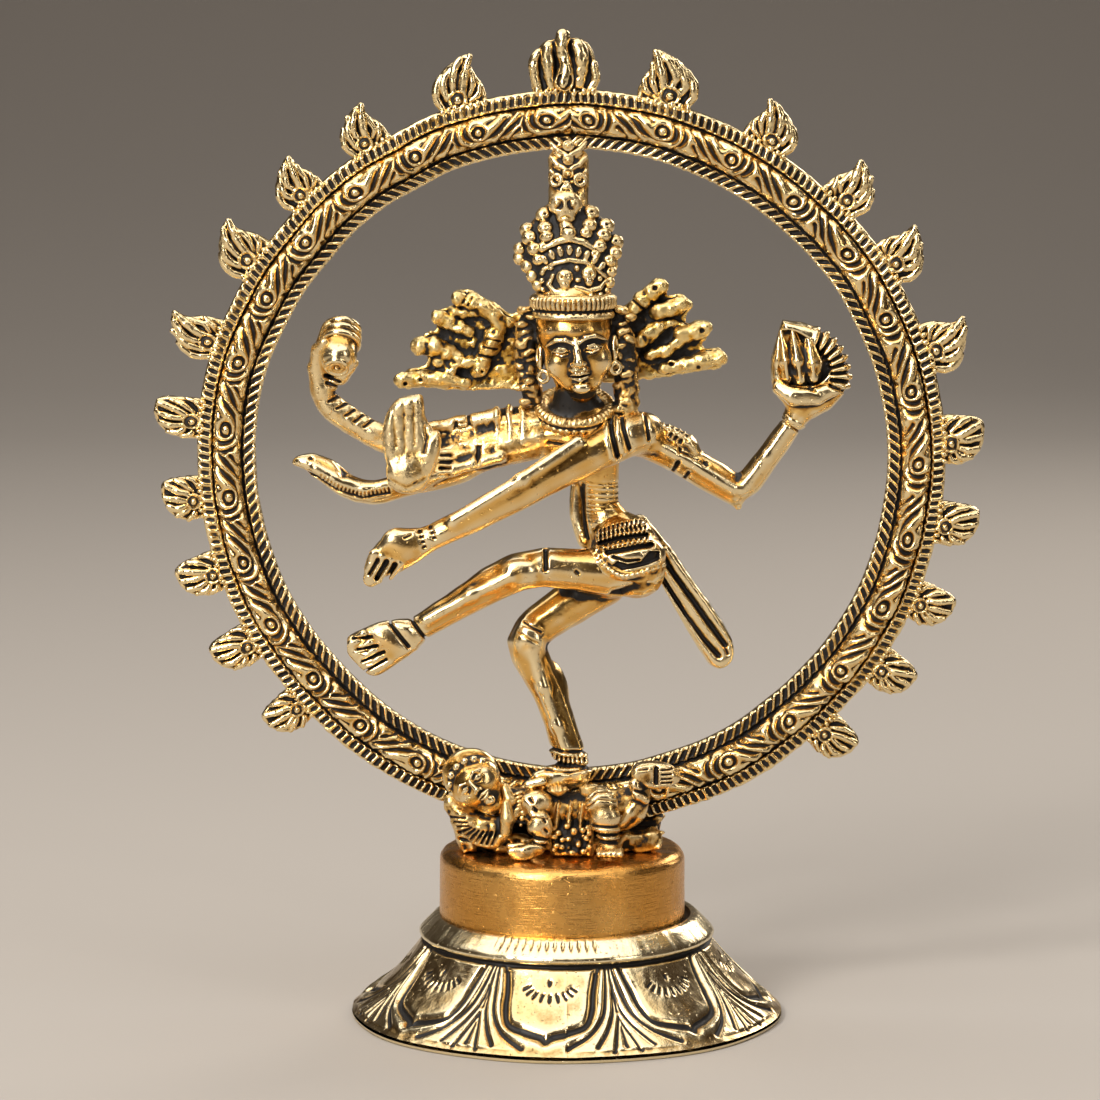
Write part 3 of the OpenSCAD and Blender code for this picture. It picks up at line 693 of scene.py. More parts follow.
def lotus_base():
    """The hollow flared base: petals chased on the skirt, a collar and an open inside."""
    around, petals = 1080, 8
    half = np.pi / petals
    th = np.linspace(0, 2 * np.pi, around, endpoint=False)
    foot_r, neck_r, foot_z, neck_z, slope = 39, 26.4, 1.2, 13.6, 18
    t = np.linspace(0, 1, 56)
    skirt_z = foot_z + (neck_z - foot_z) * t
    skirt_r = foot_r + (neck_r - foot_r) * t - 1.1 * np.sin(np.pi * t)
    collar = [(25.9, 13.75), (25.6, 13.95), (25.55, 14.2), (25.75, 14.5), (26.3, 14.75), (26.65, 15.1),
              (26.7, 15.5), (26.4, 15.95), (25.9, 16.5), (25.3, 17.1), (24.7, 17.7), (24.1, 18.3),
              (23.5, 18.7), (22.6, 18.75), (22.35, 18.5), (22.35, 17.85), (21, 17.8), (12, 17.8), (2.8, 17.8),
              (2.7, 17), (2.7, 15.9), (8, 15.7), (15, 15.7), (20.5, 15.7), (24.6, 11.8), (28, 8.6),
              (32, 4.6), (35, 1.7), (36.5, 0.2), (36.8, 0), (38.6, 0), (38.95, 0.15), (39, 0.6)]
    prof_r = np.concatenate([skirt_r, [p[0] for p in collar]])
    prof_z = np.concatenate([skirt_z, [p[1] for p in collar]])
    n_skirt = len(t)
    k = np.arange(len(prof_r))
    first = radians(-6)
    local = (th - first + half) % (2 * half) - half
    which = np.floor((th - first + half) / (2 * half)) % petals
    # U runs across a petal from its middle and V up the slope, both in mm
    U = local[:, None] / half * 13.0 + 0 * prof_r[None, :]
    slant = np.concatenate([t * slope, slope + 0.3 * np.arange(1, len(collar) + 1)])
    V = np.broadcast_to(slant[None, :], U.shape)
    wobU = 0.35 * bumps(U.shape, 60, 21)
    wobV = 0.3 * bumps(U.shape, 50, 22)
    X, Z = np.abs(U + wobU), V + wobV
    H = np.zeros_like(U)

    def cut(pts, w, depth):
        nonlocal H
        H = np.minimum(H, -depth * ridge(along(X, Z, pts), w))

    panel = curve([(10.4, 18.6), (9, 13.5), (8.3, 9.6), (6.8, 6.2), (3.2, 4.8), (0.9, 4.1), (0, 3)], 5)
    inside = X < np.interp(Z, [3.0, 4.1, 4.8, 6.2, 9.6, 13.5, 18.6], [0, 0.9, 3.2, 6.8, 8.3, 9.0, 10.4])
    dp = along(X, Z, panel)
    H += 0.55 * step(dp, 0.2, 2.6) * inside
    cut(panel, 0.8, 0.95)
    cut(curve([(12.3, 18.6), (11.3, 12.5), (10.1, 8.2), (7.4, 4.4), (3.6, 1.6)], 5), 0.42, 0.55)
    cut(curve([(12.8, 13.5), (12.3, 9.5), (10.6, 5.4), (8.4, 1.8)], 5), 0.36, 0.5)
    cut([(13.2, 18.6), (13.1, 9.4)], 0.5, 0.6)
    cut([(13.1, 8.2), (11.8, 3.8), (10.9, 0.6)], 0.34, 0.5)
    cut([(13.2, 6), (13.1, 2)], 0.6, 0.55)
    border = along(X, Z, curve([(11.2, 18.6), (10.1, 12.8), (9.3, 8.9), (7.2, 5.4), (3.4, 3.2), (0, 2.2)], 5))
    H += 0.42 * ridge(border, 0.85)
    # chased dot and arc of dashes on each panel
    XS = U + wobU * 0.3
    ZS = V + wobV * 0.3
    H -= 0.45 * ridge(np.hypot((XS + 0.2) / 0.5, (ZS - 15.1) / 0.85), 0.9)
    plain = 3  # the petal without dashes
    for i in range(-4, 5):
        a = i * 0.25
        cx, cz = 4.6 * sin(a * 1.25) * 1.1, 15.4 - 3.6 * cos(a * 1.15)
        dx, dz = 0.62 * sin(a), -0.62 * cos(a)
        d = along(XS, ZS, [(cx - dx, cz - dz), (cx + dx, cz + dz)])
        H -= 0.38 * ridge(d, 0.33) * (which[:, None] != plain)
    H *= (k < n_skirt)[None, :] * step(V, 0.1, 0.9) * (0.85 + 0.2 * bumps(U.shape, 90, 23))
    # row of punched triangles under the collar's lip, at the front
    arc = (th + np.pi) % (2 * np.pi) - np.pi
    A = np.degrees(arc)[:, None]
    tri = (A * 26 / 57.3) % 1.5 - 0.75
    top = np.concatenate([np.full(n_skirt, 9.0), np.abs(np.arange(len(collar)) - 10.0)])[None, :]
    H -= 0.3 * (1 - step(np.abs(tri) * 1.7 + top * 0.42, 0.5, 0.95)) * (A > -31) * (A < 12) * (k > n_skirt)
    H += 0.09 * bumps(U.shape, 26, 24) * (k < n_skirt + 12)
    H += 0.05 * bumps(U.shape, 8, 25) * (k < n_skirt + 14)
    scallop = 0.34 * (1 - np.cos(petals * (th - first)))[:, None] / 2 * (1 - step(prof_z, 0.6, 5))[None, :]
    dr, dz = np.gradient(prof_r), np.gradient(prof_z)
    ln = np.hypot(dr, dz)
    R = prof_r[None, :] - scallop * (prof_r > 38)[None, :] + H * (dz / ln)[None, :]
    Zz = np.maximum(prof_z[None, :] + H * (-dr / ln)[None, :] * (prof_z > 0.1), 0)
    ang = th[:, None]
    P = np.stack([R * np.sin(ang), -R * np.cos(ang), Zz], 2)
    extra = 0.85 * (np.abs(prof_z - 13.95) < 0.3) * (k < n_skirt + 6) + 0.6 * (k == n_skirt + 14) \
        - 0.5 * (k > n_skirt + 16)
    grid_piece("lotus_base", "base", P, False, extra=extra[None, :],
               gain=(10, 2.4), passes=(4, 20))


def pedestal_drum():
    """The plain turned drum, open below."""
    lo, hi = cad("pedestal_drum")
    cx, cy = (lo[0] + hi[0]) / 2, (lo[1] + hi[1]) / 2
    z0, z1, r = lo[2], hi[2], 22.25
    pts = [(r - 2.1, z1 - 3.4), (r - 2.1, z0 + 0.3), (r - 1.8, z0), (r - 0.3, z0), (r, z0 + 0.3)]
    pts += [(r, z0 + 0.3 + (z1 - z0 - 2.5) * i / 26) for i in range(1, 27)]
    pts += [(r - 2.2 + 2.2 * cos(a), z1 - 2.2 + 2.2 * sin(a)) for a in np.radians(np.arange(6, 91, 6))]
    pts += [(r - 2.2 - (r - 2.2 - 2.75) * i / 24, z1) for i in range(1, 25)]
    pts += [(2.7, z1 - 0.2), (2.7, z1 - 2.4), (10, z1 - 2.5), (16, z1 - 2.5)]
    prof = np.array(pts)
    around = 640
    th = np.linspace(0, 2 * np.pi, around, endpoint=False)[:, None]
    shape = (around, len(prof))
    H = 0.10 * bumps(shape, 46, 31) + 0.03 * bumps(shape, 9, 32)
    top = (prof[:, 1] > z1 - 1.2)[None, :]
    H = H + 0.12 * bumps(shape, 16, 33) * top
    dr, dz = np.gradient(prof[:, 0]), np.gradient(prof[:, 1])
    ln = np.hypot(dr, dz)
    R = prof[:, 0][None, :] + (H - 0.08) * (dz / ln)[None, :]
    Z = prof[:, 1][None, :] + (H - 0.1) * (-dr / ln)[None, :]
    P = np.stack([cx + R * np.sin(th), cy - R * np.cos(th), Z], 2)
    low = 1.2 * np.exp(-((prof[:, 1] - z0) / 1.1) ** 2) * (prof[:, 0] > r - 1.6)
    grid_piece("pedestal_drum", "drum", P, False,
               extra=low[None, :], gain=(5, 1))


# ---------------------------------------------------------------- flames

FLAME_H, FLAME_W = 8.4, 8.8  # the size the flames are drawn at


def flame_shape(h, w, seed, kind):
    """A flame in its own frame: x round the ring, towards its top, z away from it, the viewer at -y."""
    c = Clay((-w / 2 - 1.6, -3.6, -2.2), (w / 2 + 1.6, 3.2, h + 1.4), 0.15)
    rng = np.random.default_rng(seed)
    a, s = w / FLAME_W, h / FLAME_H

    def strand(pts, r0, r1, r2, y=-0.5, k=0.1):
        j = rng.uniform(-0.22, 0.22, (len(pts), 2))
        P = curve([((p[0] + q[0]) * a, (p[1] + q[1]) * s) for p, q in zip(pts, j)], 4)
        n = len(P)
        for i in range(n - 1):
            ra, rb = (np.interp(f / (n - 1), [0, 0.5, 1], [r0, r1, r2]) for f in (i, i + 1))
            c.seg((P[i][0], y, P[i][1]), (P[i + 1][0], y, P[i + 1][1]), ra, rb, k, flat=1.1)

    def leaf(pts, edge):
        c.slab(curve(pts, 3) * np.array([a, s]), -0.4, 1.5, edge)

    dx, dy, dz = -0.7 * a, -1.85, s  # the eye at its foot
    if kind == "top":
        leaf([(-4.1, -1.2), (-4.6, 1), (-4.4, 3.4), (-3.8, 5.2), (-2.8, 6.4), (-1.2, 7), (1.2, 7.1),
              (2.9, 6.6), (3.9, 5.0), (4.3, 2.6), (4.2, -1.2)], 0.5)
        strand([(-3.3, 0), (-4, 2), (-3.9, 4), (-3.3, 5.2)], 0.75, 0.95, 0.75, -0.45)
        strand([(-1.9, 0.4), (-2.3, 2.6), (-2.5, 4.6), (-2.2, 5.9)], 0.9, 1.3, 1.2, -0.7)
        strand([(1.7, 0.6), (2.1, 2.8), (2.3, 4.8), (2, 5.9)], 1, 1.5, 1.35, -0.7)
        strand([(3.3, -0.2), (3.9, 1.4), (3.8, 3.4)], 0.65, 0.85, 0.65, -0.4)
        strand([(0, 1.1), (0.1, 3.2), (-0.25, 5.6), (-0.35, 7.3)], 1.8, 1.3, 1.3, -1.1)
        dx, dy, dz = 0, -2.35, 1.15 * s
    elif kind == "wave":
        leaf([(-4.1, -1), (-4.3, 1), (-4.1, 3.2), (-3.2, 5.2), (-1.6, 6.8), (0.4, 7.8), (2.4, 8.3),
              (3.3, 8.0), (2.9, 6.4), (3.2, 4.6), (3.9, 3.0), (4.2, 1.0), (4.2, -1.0)], 0.6)
        strand([(-3.4, -0.2), (-4, 1.8), (-3.6, 3.9), (-2.4, 5.7)], 0.6, 0.8, 0.6, -0.45)
        strand([(-2.2, 1.2), (-2.7, 3), (-1.9, 5.1), (-0.5, 6.9)], 0.6, 0.85, 0.6, -0.65)
        strand([(-1, 2.5), (-0.9, 4.3), (0.1, 6.2), (1.4, 7.6)], 0.6, 0.85, 0.6, -0.8)
        strand([(0.4, 2), (0.8, 3.9), (1.8, 5.9), (2.9, 7.9)], 0.75, 0.92, 0.5, -0.9)
        strand([(1.3, 1.2), (2.3, 2.6), (2.6, 4.2), (2.6, 5.8)], 0.5, 0.65, 0.4, -0.55)
        strand([(1.5, 0.1), (2.9, 1.1), (3.5, 2.7)], 0.5, 0.6, 0.35, -0.4)
    else:
        leaf([(-4, -1), (-4.5, 1), (-4.4, 3.2), (-3.7, 5.2), (-2.2, 6.9), (-0.2, 7.8), (1.8, 8),
              (3.2, 7.4), (3.9, 5.6), (4.1, 3.2), (4.3, 1.0), (4.1, -1.0)], 0.6)
        strand([(-1.9, 0.4), (-3.3, 1.1), (-4.1, 2.4)], 0.55, 0.7, 0.55, -0.4)
        strand([(-1.9, 1.6), (-3, 3.1), (-3.4, 4.9)], 0.6, 0.8, 0.6, -0.55)
        strand([(-1.4, 2.4), (-1.9, 4.4), (-1.6, 6.4)], 0.6, 0.85, 0.65, -0.7)
        strand([(-0.4, 2.6), (-0.2, 4.7), (0.5, 7.1)], 0.65, 0.85, 0.65, -0.8)
        strand([(0.7, 2.2), (1.5, 4.4), (2.5, 6.9)], 0.7, 0.9, 0.65, -0.85)
        strand([(1.4, 1), (2.7, 2.8), (3.5, 5)], 0.5, 0.75, 0.5, -0.6)
        strand([(1.6, -0.2), (3.1, 0.6), (3.9, 2.2)], 0.45, 0.55, 0.4, -0.4)
    c.ell((dx, -1, dz), (1.75, 1.1, 1.75), 0.12)
    c.hoop((dx, dy, dz), 1.05, 0.5, k=0.08, cut=True)
    c.ell((dx, dy + 0.15, dz), (0.6, 0.6, 0.6), 0.08)
    for i in range(-3, 4):
        if i:
            c.ell((i * 1.25 * a, -1.2, -0.5), (0.45, 0.6, 0.75), 0.12)
    c.rough(0.13, 0.9, seed)
    return c.mesh()


def flames():
    """Stands the flames round the ring: (degrees from the top, height, width) down each side."""
    cx, cz = ring_centre()
    left = [(16.7, 8.5, 9.2), (32.1, 7.5, 8.1), (44.5, 7.6, 7.9), (57.1, 8.3, 8.8), (70.7, 8.9, 7.9),
            (83, 8.5, 7.4), (95.1, 7.1, 8), (106.8, 7.8, 7.6), (119.1, 8.1, 7.4), (131.5, 7.5, 7.2)]
    right = [(14.2, 8.7, 10.2), (31, 7.2, 9.2), (45.5, 8, 8.4), (57.6, 7.8, 8.7), (72, 7.6, 9.5),
             (86.2, 7.3, 9), (99, 7.4, 8), (111.6, 7.3, 7.5), (123.3, 7.3, 7.6), (136.5, 7.1, 7.5)]
    kinds = [flame_shape(FLAME_H, FLAME_W, 50 + i, ("wave", "shell")[i % 2]) for i in range(6)]
    V, F, hollow = flame_shape(10.7, 11.6, 44, "top")
    jobs = [("flame_top", -1, V, F, hollow)]
    for m, side, row in ((1, "left", left), (-1, "right", right)):
        for i, (deg, h, w) in enumerate(row):
            V, F, hollow = kinds[(i * 2 + m) % 3 * 2 + (i > 4)]
            V = V * np.array([m * w / FLAME_W, 1, h / FLAME_H])
            jobs.append((f"flame_{side}_{i + 1:02d}", -m * deg, V, F if m > 0 else F[:, ::-1], hollow))
    for n, (name, deg, V, F, hollow) in enumerate(jobs):
        a = radians(deg)
        tilt = radians(3.0 * sin(n * 2.1))
        x = V[:, 0] * cos(tilt) + V[:, 2] * sin(tilt)
        z = -V[:, 0] * sin(tilt) + V[:, 2] * cos(tilt) + RING_R + float(ring_drop(np.array(deg)))
        P = np.stack([cx + x * cos(a) + z * sin(a), V[:, 1] - 0.1,
                      cz - x * sin(a) + z * cos(a)], 1)
        piece("cast_" + name, name, "ring", P, F, 1.3 * hollow + 0.2)


# ---------------------------------------------------------------- arms

def hand_drum():
    c = Clay.of("hand_drum", 0.15, smooth=0.8)
    u = np.array([-0.10, -0.67, -0.735])
    mid = np.array([-40.2, -4.4, 121.6])
    for t in (-4, -2.5, -1):  # the fingers laid round it
        c.hoop(mid + u * t, 2.75 if t < -3 else 2.95, 0.72, u, 0.2)
    c.hoop(mid + u * 4.5, 1.95, 0.42, u, 0.2)
    c.seg(mid + u * 6.2, mid + u * 6.25, 1.7, 1.7, 0.2, cut=True)
    c.seg(mid + u * 4.5, mid + u * 4.85, 0.3, 0.3, 0.2)
    c.rough(0.1, 1.6, 61)
    cast(c, "figure", [(-40.5, 118.6, 2, 1.6, -0.4), (-41, 125.5, 3, 2, 0.2)])


def rear_right_arm():
    c = Clay.of("rear_right_arm", 0.2)
    c.chain([(-43.5, -2.4, 113.5), (-44.3, -3, 118), (-44, -4.8, 121.2), (-42.9, -6.9, 122.6)],
            [2, 1.8, 1.25, 0.8])
    c.chain([(-42.6, -2.2, 114.6), (-39.8, -3.6, 116.4), (-37.6, -5.4, 118.8)], [1.6, 1.15, 0.8])
    c.chain([(-12, -5.2, 109.4), (-20, -4.6, 107.8), (-28, -4, 106.4)], [1.5, 1.3, 1.2], 0.8)
    c.rough(0.16, 2.4, 7)
    c.rough(0.07, 0.8, 8)
    c.cut([(-19.7, 108.2), (-19.6, 103.4)], 0.42, 0.85)
    c.cut([(-17.5, 109.2), (-16.9, 104.6)], 0.36, 0.7)
    c.ticks([(-18.5, 108.8), (-18.2, 103.6)], 1.05, 1.1, 0.22, 0.5)
    c.cut([(-11.4, 111.2), (-11.2, 106)], 0.48, 0.95)
    c.cut([(-9.2, 111.2), (-8.9, 105.4)], 0.48, 0.95)
    c.lift([(-10.3, 111.4), (-10, 105.2)], 0.6, 0.45)
    c.lift([(-12.5, 111), (-12.3, 105.6)], 0.5, 0.35)
    c.lift([(-8, 111), (-7.6, 105)], 0.5, 0.35)
    c.ticks([(-34.5, 107.4), (-38.4, 109.6), (-42, 112.6)], 1.9, 1.6, 0.26, 0.45, 0.5)
    c.cut([(-42.6, 115.2), (-39.8, 114.2)], 0.3, 0.6)
    c.cut([(-42.9, 116.5), (-40.2, 115.4)], 0.3, 0.6)
    c.press(-2.6, -1.6)
    c.fillet(["front_right_arm"], 2.4)
    cast(c, "aged", [
        (-36, 106.5, 4, 2.5, -0.35), (-43, 113, 2.5, 2.5, -0.3), (-15, 106.8, 2, 2.4, -0.5),
        (-23.5, 106, 2.2, 2.4, 0.35), (-41, 116.5, 1.6, 1.2, 0.9), (-6.5, 106.5, 2.6, 3, -0.4)])


def front_right_arm():
    c = Clay.of("front_right_arm", 0.2, hi=(-4, 0, 115.5))
    palm = curve([(-28.4, 96.9), (-31, 99.6), (-32.2, 103.6), (-32.4, 107.6), (-31.6, 110.9), (-29.3, 113.2),
                  (-25.9, 113.9), (-25.1, 112.4), (-25.1, 109.6), (-25, 107.4), (-24.3, 106.6),
                  (-22.9, 107.6), (-22.2, 106.2), (-22.7, 103.6), (-23.9, 100.6), (-25.6, 97.7)], 3)
    c.slab(palm, -13.4, -10.4, 1.35, 0.5)
    c.ell((-28, -12.6, 99.8), (3.9, 1.8, 3.4), 1, -12)
    c.ell((-24.4, -12.6, 102.8), (1.7, 1.3, 3.9), 0.8, 14)
    c.chain([(-12, -8, 102.4), (-20, -8.4, 100.2), (-25, -9.4, 98.6)], [1, 1, 1], 0.9)
    c.rough(0.1, 2.6, 9)
    c.cut([(-30.6, 111.2), (-30.4, 107.5), (-30.1, 105)], 0.32, 0.16)
    c.cut([(-28.7, 112.8), (-28.6, 108), (-28.5, 104.6)], 0.32, 0.18)
    c.cut([(-27, 113.4), (-26.9, 108), (-26.8, 105.2)], 0.32, 0.18)
    c.cut([(-24.9, 108.2), (-24.6, 106.4), (-25.2, 103.8)], 0.3, 0.35)
    c.cut([(-31.4, 99.3), (-28.3, 97.7), (-25, 99.3)], 0.4, 0.22)
    c.press(-11.6, -10.8)
    c.ticks([(-21.5, 103.2), (-21.6, 98.4)], 1.1, 1.6, 0.28, 0.4)
    c.cut([(-15.6, 104.6), (-15.8, 101.4)], 0.4, 0.5)
    c.press(-4.6, -3.4)
    c.rough(0.06, 0.8, 10)
    c.fillet(["rear_right_arm"], 2.4)
    cast(c, "aged", [
        (-27.6, 105, 6, 9, -1.25), (-18, 101, 3, 2.2, 0.3), (-11, 103, 4, 2, -0.45)])


def arm_serpent():
    c = Clay.of("arm_serpent", 0.18)
    c.ell((-46.2, -5, 101), (2.3, 1.6, 1.25), 0.6, 18)
    c.chain([(-44.5, -6.3, 100.2), (-41, -6.2, 98), (-36, -6.1, 96.3), (-31, -6.2, 97.2)],
            [1.1, 1.2, 1.2, 1.1], 0.6)
    c.rough(0.12, 1.8, 13)
    c.cut([(-48.6, 100.4), (-46, 99.4), (-44.2, 98.7)], 0.24, 0.5)
    c.cut([(-44, 98.4), (-40.6, 96.2), (-36.2, 95), (-31.5, 95.8)], 0.22, 0.35)
    c.ticks([(-44, 99), (-40.4, 96.8), (-36.2, 95.6), (-31.5, 96.4)], 0.72, 0.9, 0.17, 0.4)
    c.cut([(-40.6, 101.4), (-39.6, 99.2)], 0.5, 0.7)
    c.cut([(-45.6, 101.9), (-45.3, 101.8)], 0.3, 0.5)
    c.press(-4.6, -3.8)
    c.fillet(["front_right_arm"], 1.4)
    cast(c, "figure", [
        (-39.6, 100.6, 1.6, 1.2, 1.1), (-37, 95.2, 5, 1.2, 0.45), (-30.5, 97, 2, 2.4, 0.6),
        (-46.5, 99.2, 1.6, 0.8, 0.5)])


def front_left_arm():
    c = Clay.of("front_left_arm", 0.18)
    hand = curve([(-26.6, 90.3), (-30.3, 90.4), (-32.6, 88.6), (-34.8, 86), (-35.6, 84), (-35.3, 81.9),
                  (-33.4, 80.9), (-31.2, 81.3), (-29.2, 83.6), (-25.6, 86.8)], 3)
    c.slab(hand, -15.2, -11.6, 1.5, 0.7)
    c.ell((-29.6, -14.2, 87.6), (3, 1.5, 2.2), 0.9, 32)
    for a, b in (((-34, 86), (-35.1, 83.2)), ((-32.6, 85.5), (-34.2, 82.2)),
                 ((-31, 84.9), (-32.8, 81.7)), ((-29.6, 84.3), (-31.3, 81.9))):
        c.seg((a[0], -14.5, a[1]), (b[0], -13.9, b[1]), 0.9, 0.75, 0.25)
    c.rough(0.09, 3.2, 15)
    # flat the file left along the upper side, and the shoulder's bands
    c.chain([(2, -12.4, 105.6), (-8, -14.6, 99.2), (-20, -14.7, 92)], [1.1, 1, 0.9], 1.2)
    c.cut([(-33.3, 85), (-34.8, 82.4)], 0.3, 0.8)
    c.cut([(-31.8, 84.6), (-33.6, 81.6)], 0.42, 1.1)
    c.cut([(-30.3, 84.1), (-32.1, 81.2)], 0.42, 1.1)
    c.ticks([(-26, 90.3), (-25.1, 87.2)], 0.9, 0.25, 0.28, 0.5)
    c.ticks([(-24.2, 91), (-23.2, 88.4)], 0.9, 0.25, 0.28, 0.5)
    c.cut([(-27.4, 89.4), (-28.6, 88.9)], 0.22, 0.3)
    c.press(-12.6, -11.8)
    c.cut([(7.6, 109.9), (8, 106.5), (8.9, 102.9)], 0.34, 0.8)
    c.cut([(9.5, 110.6), (10, 107.5), (11, 104.2)], 0.34, 0.75)
    c.lift([(8.6, 110.2), (9, 107), (9.9, 103.4)], 0.5, 0.4)
    c.lift([(6.7, 109.2), (7.1, 106.2), (7.9, 102.6)], 0.45, 0.3)
    c.cut([(13.8, 109.8), (14.5, 105.6)], 0.3, 0.6)
    c.press(-5.6, -4.6)
    c.fillet(["rear_left_arm"], 1.6)
    cast(c, "figure", [(8.6, 106.5, 2.4, 4, 0.25), (-34, 83.4, 1.6, 2, 0.3)])


def rear_left_arm():
    c = Clay.of("rear_left_arm", 0.2)
    c.chain([(16, -5.8, 104.4), (22, -4.9, 101), (29.4, -4.6, 96.4)], [1.2, 1, 0.9], 0.9)
    c.chain([(31.2, -4.2, 96.2), (35.4, -3.8, 102), (39.4, -3.7, 107.6)], [0.9, 0.8, 0.8], 0.9)
    c.seg((30.3, -2.2, 94.6), (30.6, -2.2, 92.9), 1.5, 0.7, 0.8)
    c.rough(0.1, 3, 17)
    c.cut([(19.8, 101.3), (18.6, 98.8)], 0.34, 0.8)
    c.cut([(21.6, 99.2), (21, 98.2)], 0.3, 0.6)
    c.cut([(20.2, 106.6), (20.1, 103)], 0.3, 0.55)
    c.cut([(20.4, 103), (23.2, 101.6)], 0.22, 0.35)
    c.cut([(24.4, 100.9), (24.8, 100.6)], 0.3, 0.4)
    c.press(-2.8, -1.8)
    c.band((40.4, -2.2, 108.4), (0.55, 0, 0.83), 5, [(-1, 0.28, -0.35), (0, 0.5, 0.3), (1, 0.28, -0.4)])
    c.fillet(["front_left_arm", "torso"], 1.6)
    cast(c, "figure", [(16, 104, 3, 3, 0.25), (20, 101, 1.6, 3, 0.25), (29, 99, 2, 1.5, 0.3)])


def shoulder_ribbon():
    c = Clay.of("shoulder_ribbon", 0.15)
    top = [(14.2, 108.8), (16.6, 108.4), (19.2, 107.4), (21.6, 105.8)]
    low = [(14.4, 107), (16.6, 106.7), (18.8, 105.8), (20.8, 104.4)]
    c.ticks(top, 1.05, 0.5, 0.36, 0.75)
    c.ticks(low, 1.05, 0.5, 0.36, 0.7, shift=0.5)
    c.cut([(14.2, 107.9), (16.7, 107.5), (19.1, 106.6), (21.4, 105)], 0.2, 0.4)
    c.press(-2, -1.2)
    c.rough(0.08, 0.9, 19)
    c.fillet(["rear_left_arm"], 0.6)
    cast(c, "aged")


def fire_hand():
    c = Clay.of("fire_hand", 0.18, lo=(35, -7.5, 108))
    rim = curve([(36.3, 119.7), (36.3, 115.6), (37.6, 112.5), (40.2, 110.2), (43.6, 110.2), (47.6, 111.8),
                 (50.2, 114.6), (50.1, 118), (48.2, 121.8), (45.2, 124.2), (41.8, 125.6), (38.2, 126.4)], 4)
    c.slab(rim, -4.9, -0.6, 1.7, 0.5)
    c.chain([(37.6, -5, 114.4), (40.2, -6, 112.9), (44.2, -6.2, 113), (48.2, -5.2, 114.6)],
            [1.3, 1.55, 1.5, 1.2], 0.5)
    c.slab(curve([(37.5, 117.6), (38.2, 115.6), (41, 114.8), (44.6, 115.2), (46.6, 117.4), (45.6, 120.6),
                  (43, 122.9), (40, 124.6), (37.9, 124.4)], 3), -12, -3.2, 0.9, 0.5, cut=True)

    def spoke(deg, r):
        return 42.4 + r * cos(radians(deg)), 116.6 + r * sin(radians(deg))

    for deg in range(-22, 71, 13):
        c.cut([spoke(deg, 4.6), spoke(deg, 9.5)], 0.3, 0.7)
        c.lift([spoke(deg + 6.5, 5), spoke(deg + 6.5, 8.6)], 0.55, 0.35)
    c.cut([(43, 114.4), (44.6, 113.4)], 0.3, 0.4)
    c.press(-2.6, -1.6)
    c.rough(0.1, 1.5, 21)
    c.fillet(["rear_left_arm"], 0.8)
    cast(c, "figure", [(40.6, 115.6, 3.6, 1, 1.2), (38.4, 119, 1.4, 3, 0.5)])


def fire_tongues():
    c = Clay.of("fire_tongues", 0.15, pad=2.0, smooth=0)
    c.D[:] = FAR
    for (bx, bz), (tx, tz), r in (((39.1, 116), (37.9, 124.4), 1.25), ((41.4, 115.8), (39.9, 124.8), 1.5),
                                  ((43.8, 116.2), (42.9, 122.9), 1.35)):
        mx, mz = bx * 0.62 + tx * 0.38, bz * 0.62 + tz * 0.38
        c.chain([(bx, -3.4, bz), (mx, -4.5, mz), (tx, -4.2, tz)], [r * 0.75, r, 0.28], 0.15)
        c.chain([(bx, -5.3, bz), (mx, -5.9, mz), (tx, -4.4, tz)], [0.3, 0.34, 0.15], 0.35)
    c.rough(0.05, 1.2, 23)
    c.fillet(["fire_hand"], 0.5)
    cast(c, "figure")


# ---------------------------------------------------------------- body and legs

def torso():
    c = Clay.of("torso", 0.2)
    c.ell((-0.6, -6.6, 106.2), (3.2, 1.6, 2.6), 1.2)
    c.ell((6.2, -6.4, 106), (3, 1.5, 2.4), 1.2)
    c.rough(0.1, 2.4, 25)
    for i, z in enumerate(np.arange(88.2, 97.6, 0.62)):
        c.cut([(2.6, z + 0.2 * sin(i * 1.7)), (9.8, z + 0.25 * sin(i * 2.3) - 0.2)], 0.13, 0.12)
    c.cut([(3, 97), (2.8, 92), (3.8, 87.6)], 0.4, 0.4)
    c.cut([(-5.2, 103.4), (-3.2, 105), (-0.4, 104.6)], 0.3, 0.35)
    c.cut([(1.6, 107.2), (1.5, 104.2)], 0.3, 0.25)
    c.press(-3.2, -2.2)
    c.cut([(2.6, 110), (4.6, 104), (5.8, 98), (6.4, 90)], 0.6, 0.5)
    c.cut([(-1.6, 106.4), (0.4, 103.4), (3, 103)], 0.5, 0.25)
    c.cut([(9.6, 106.8), (8.4, 103.8), (6.2, 103)], 0.5, 0.25)
    c.press(-1.4, -2.4)
    c.fillet(["hip_wrap", "rear_right_arm", "rear_left_arm", "front_right_arm"], 1.6)
    # the spots paint shadow down the torso's left side, under the crossing arm and under the chin
    cast(c, "figure", [(1.2, 91.5, 1.4, 7, 1), (2.9, 92, 0.5, 6, 0.6), (-2, 108.5, 5, 2.5, 0.5),
        (6, 99, 4, 1.6, 0.45), (2, 113, 7, 2.4, 2.4), (0.5, 104, 3, 2, 0.15)])


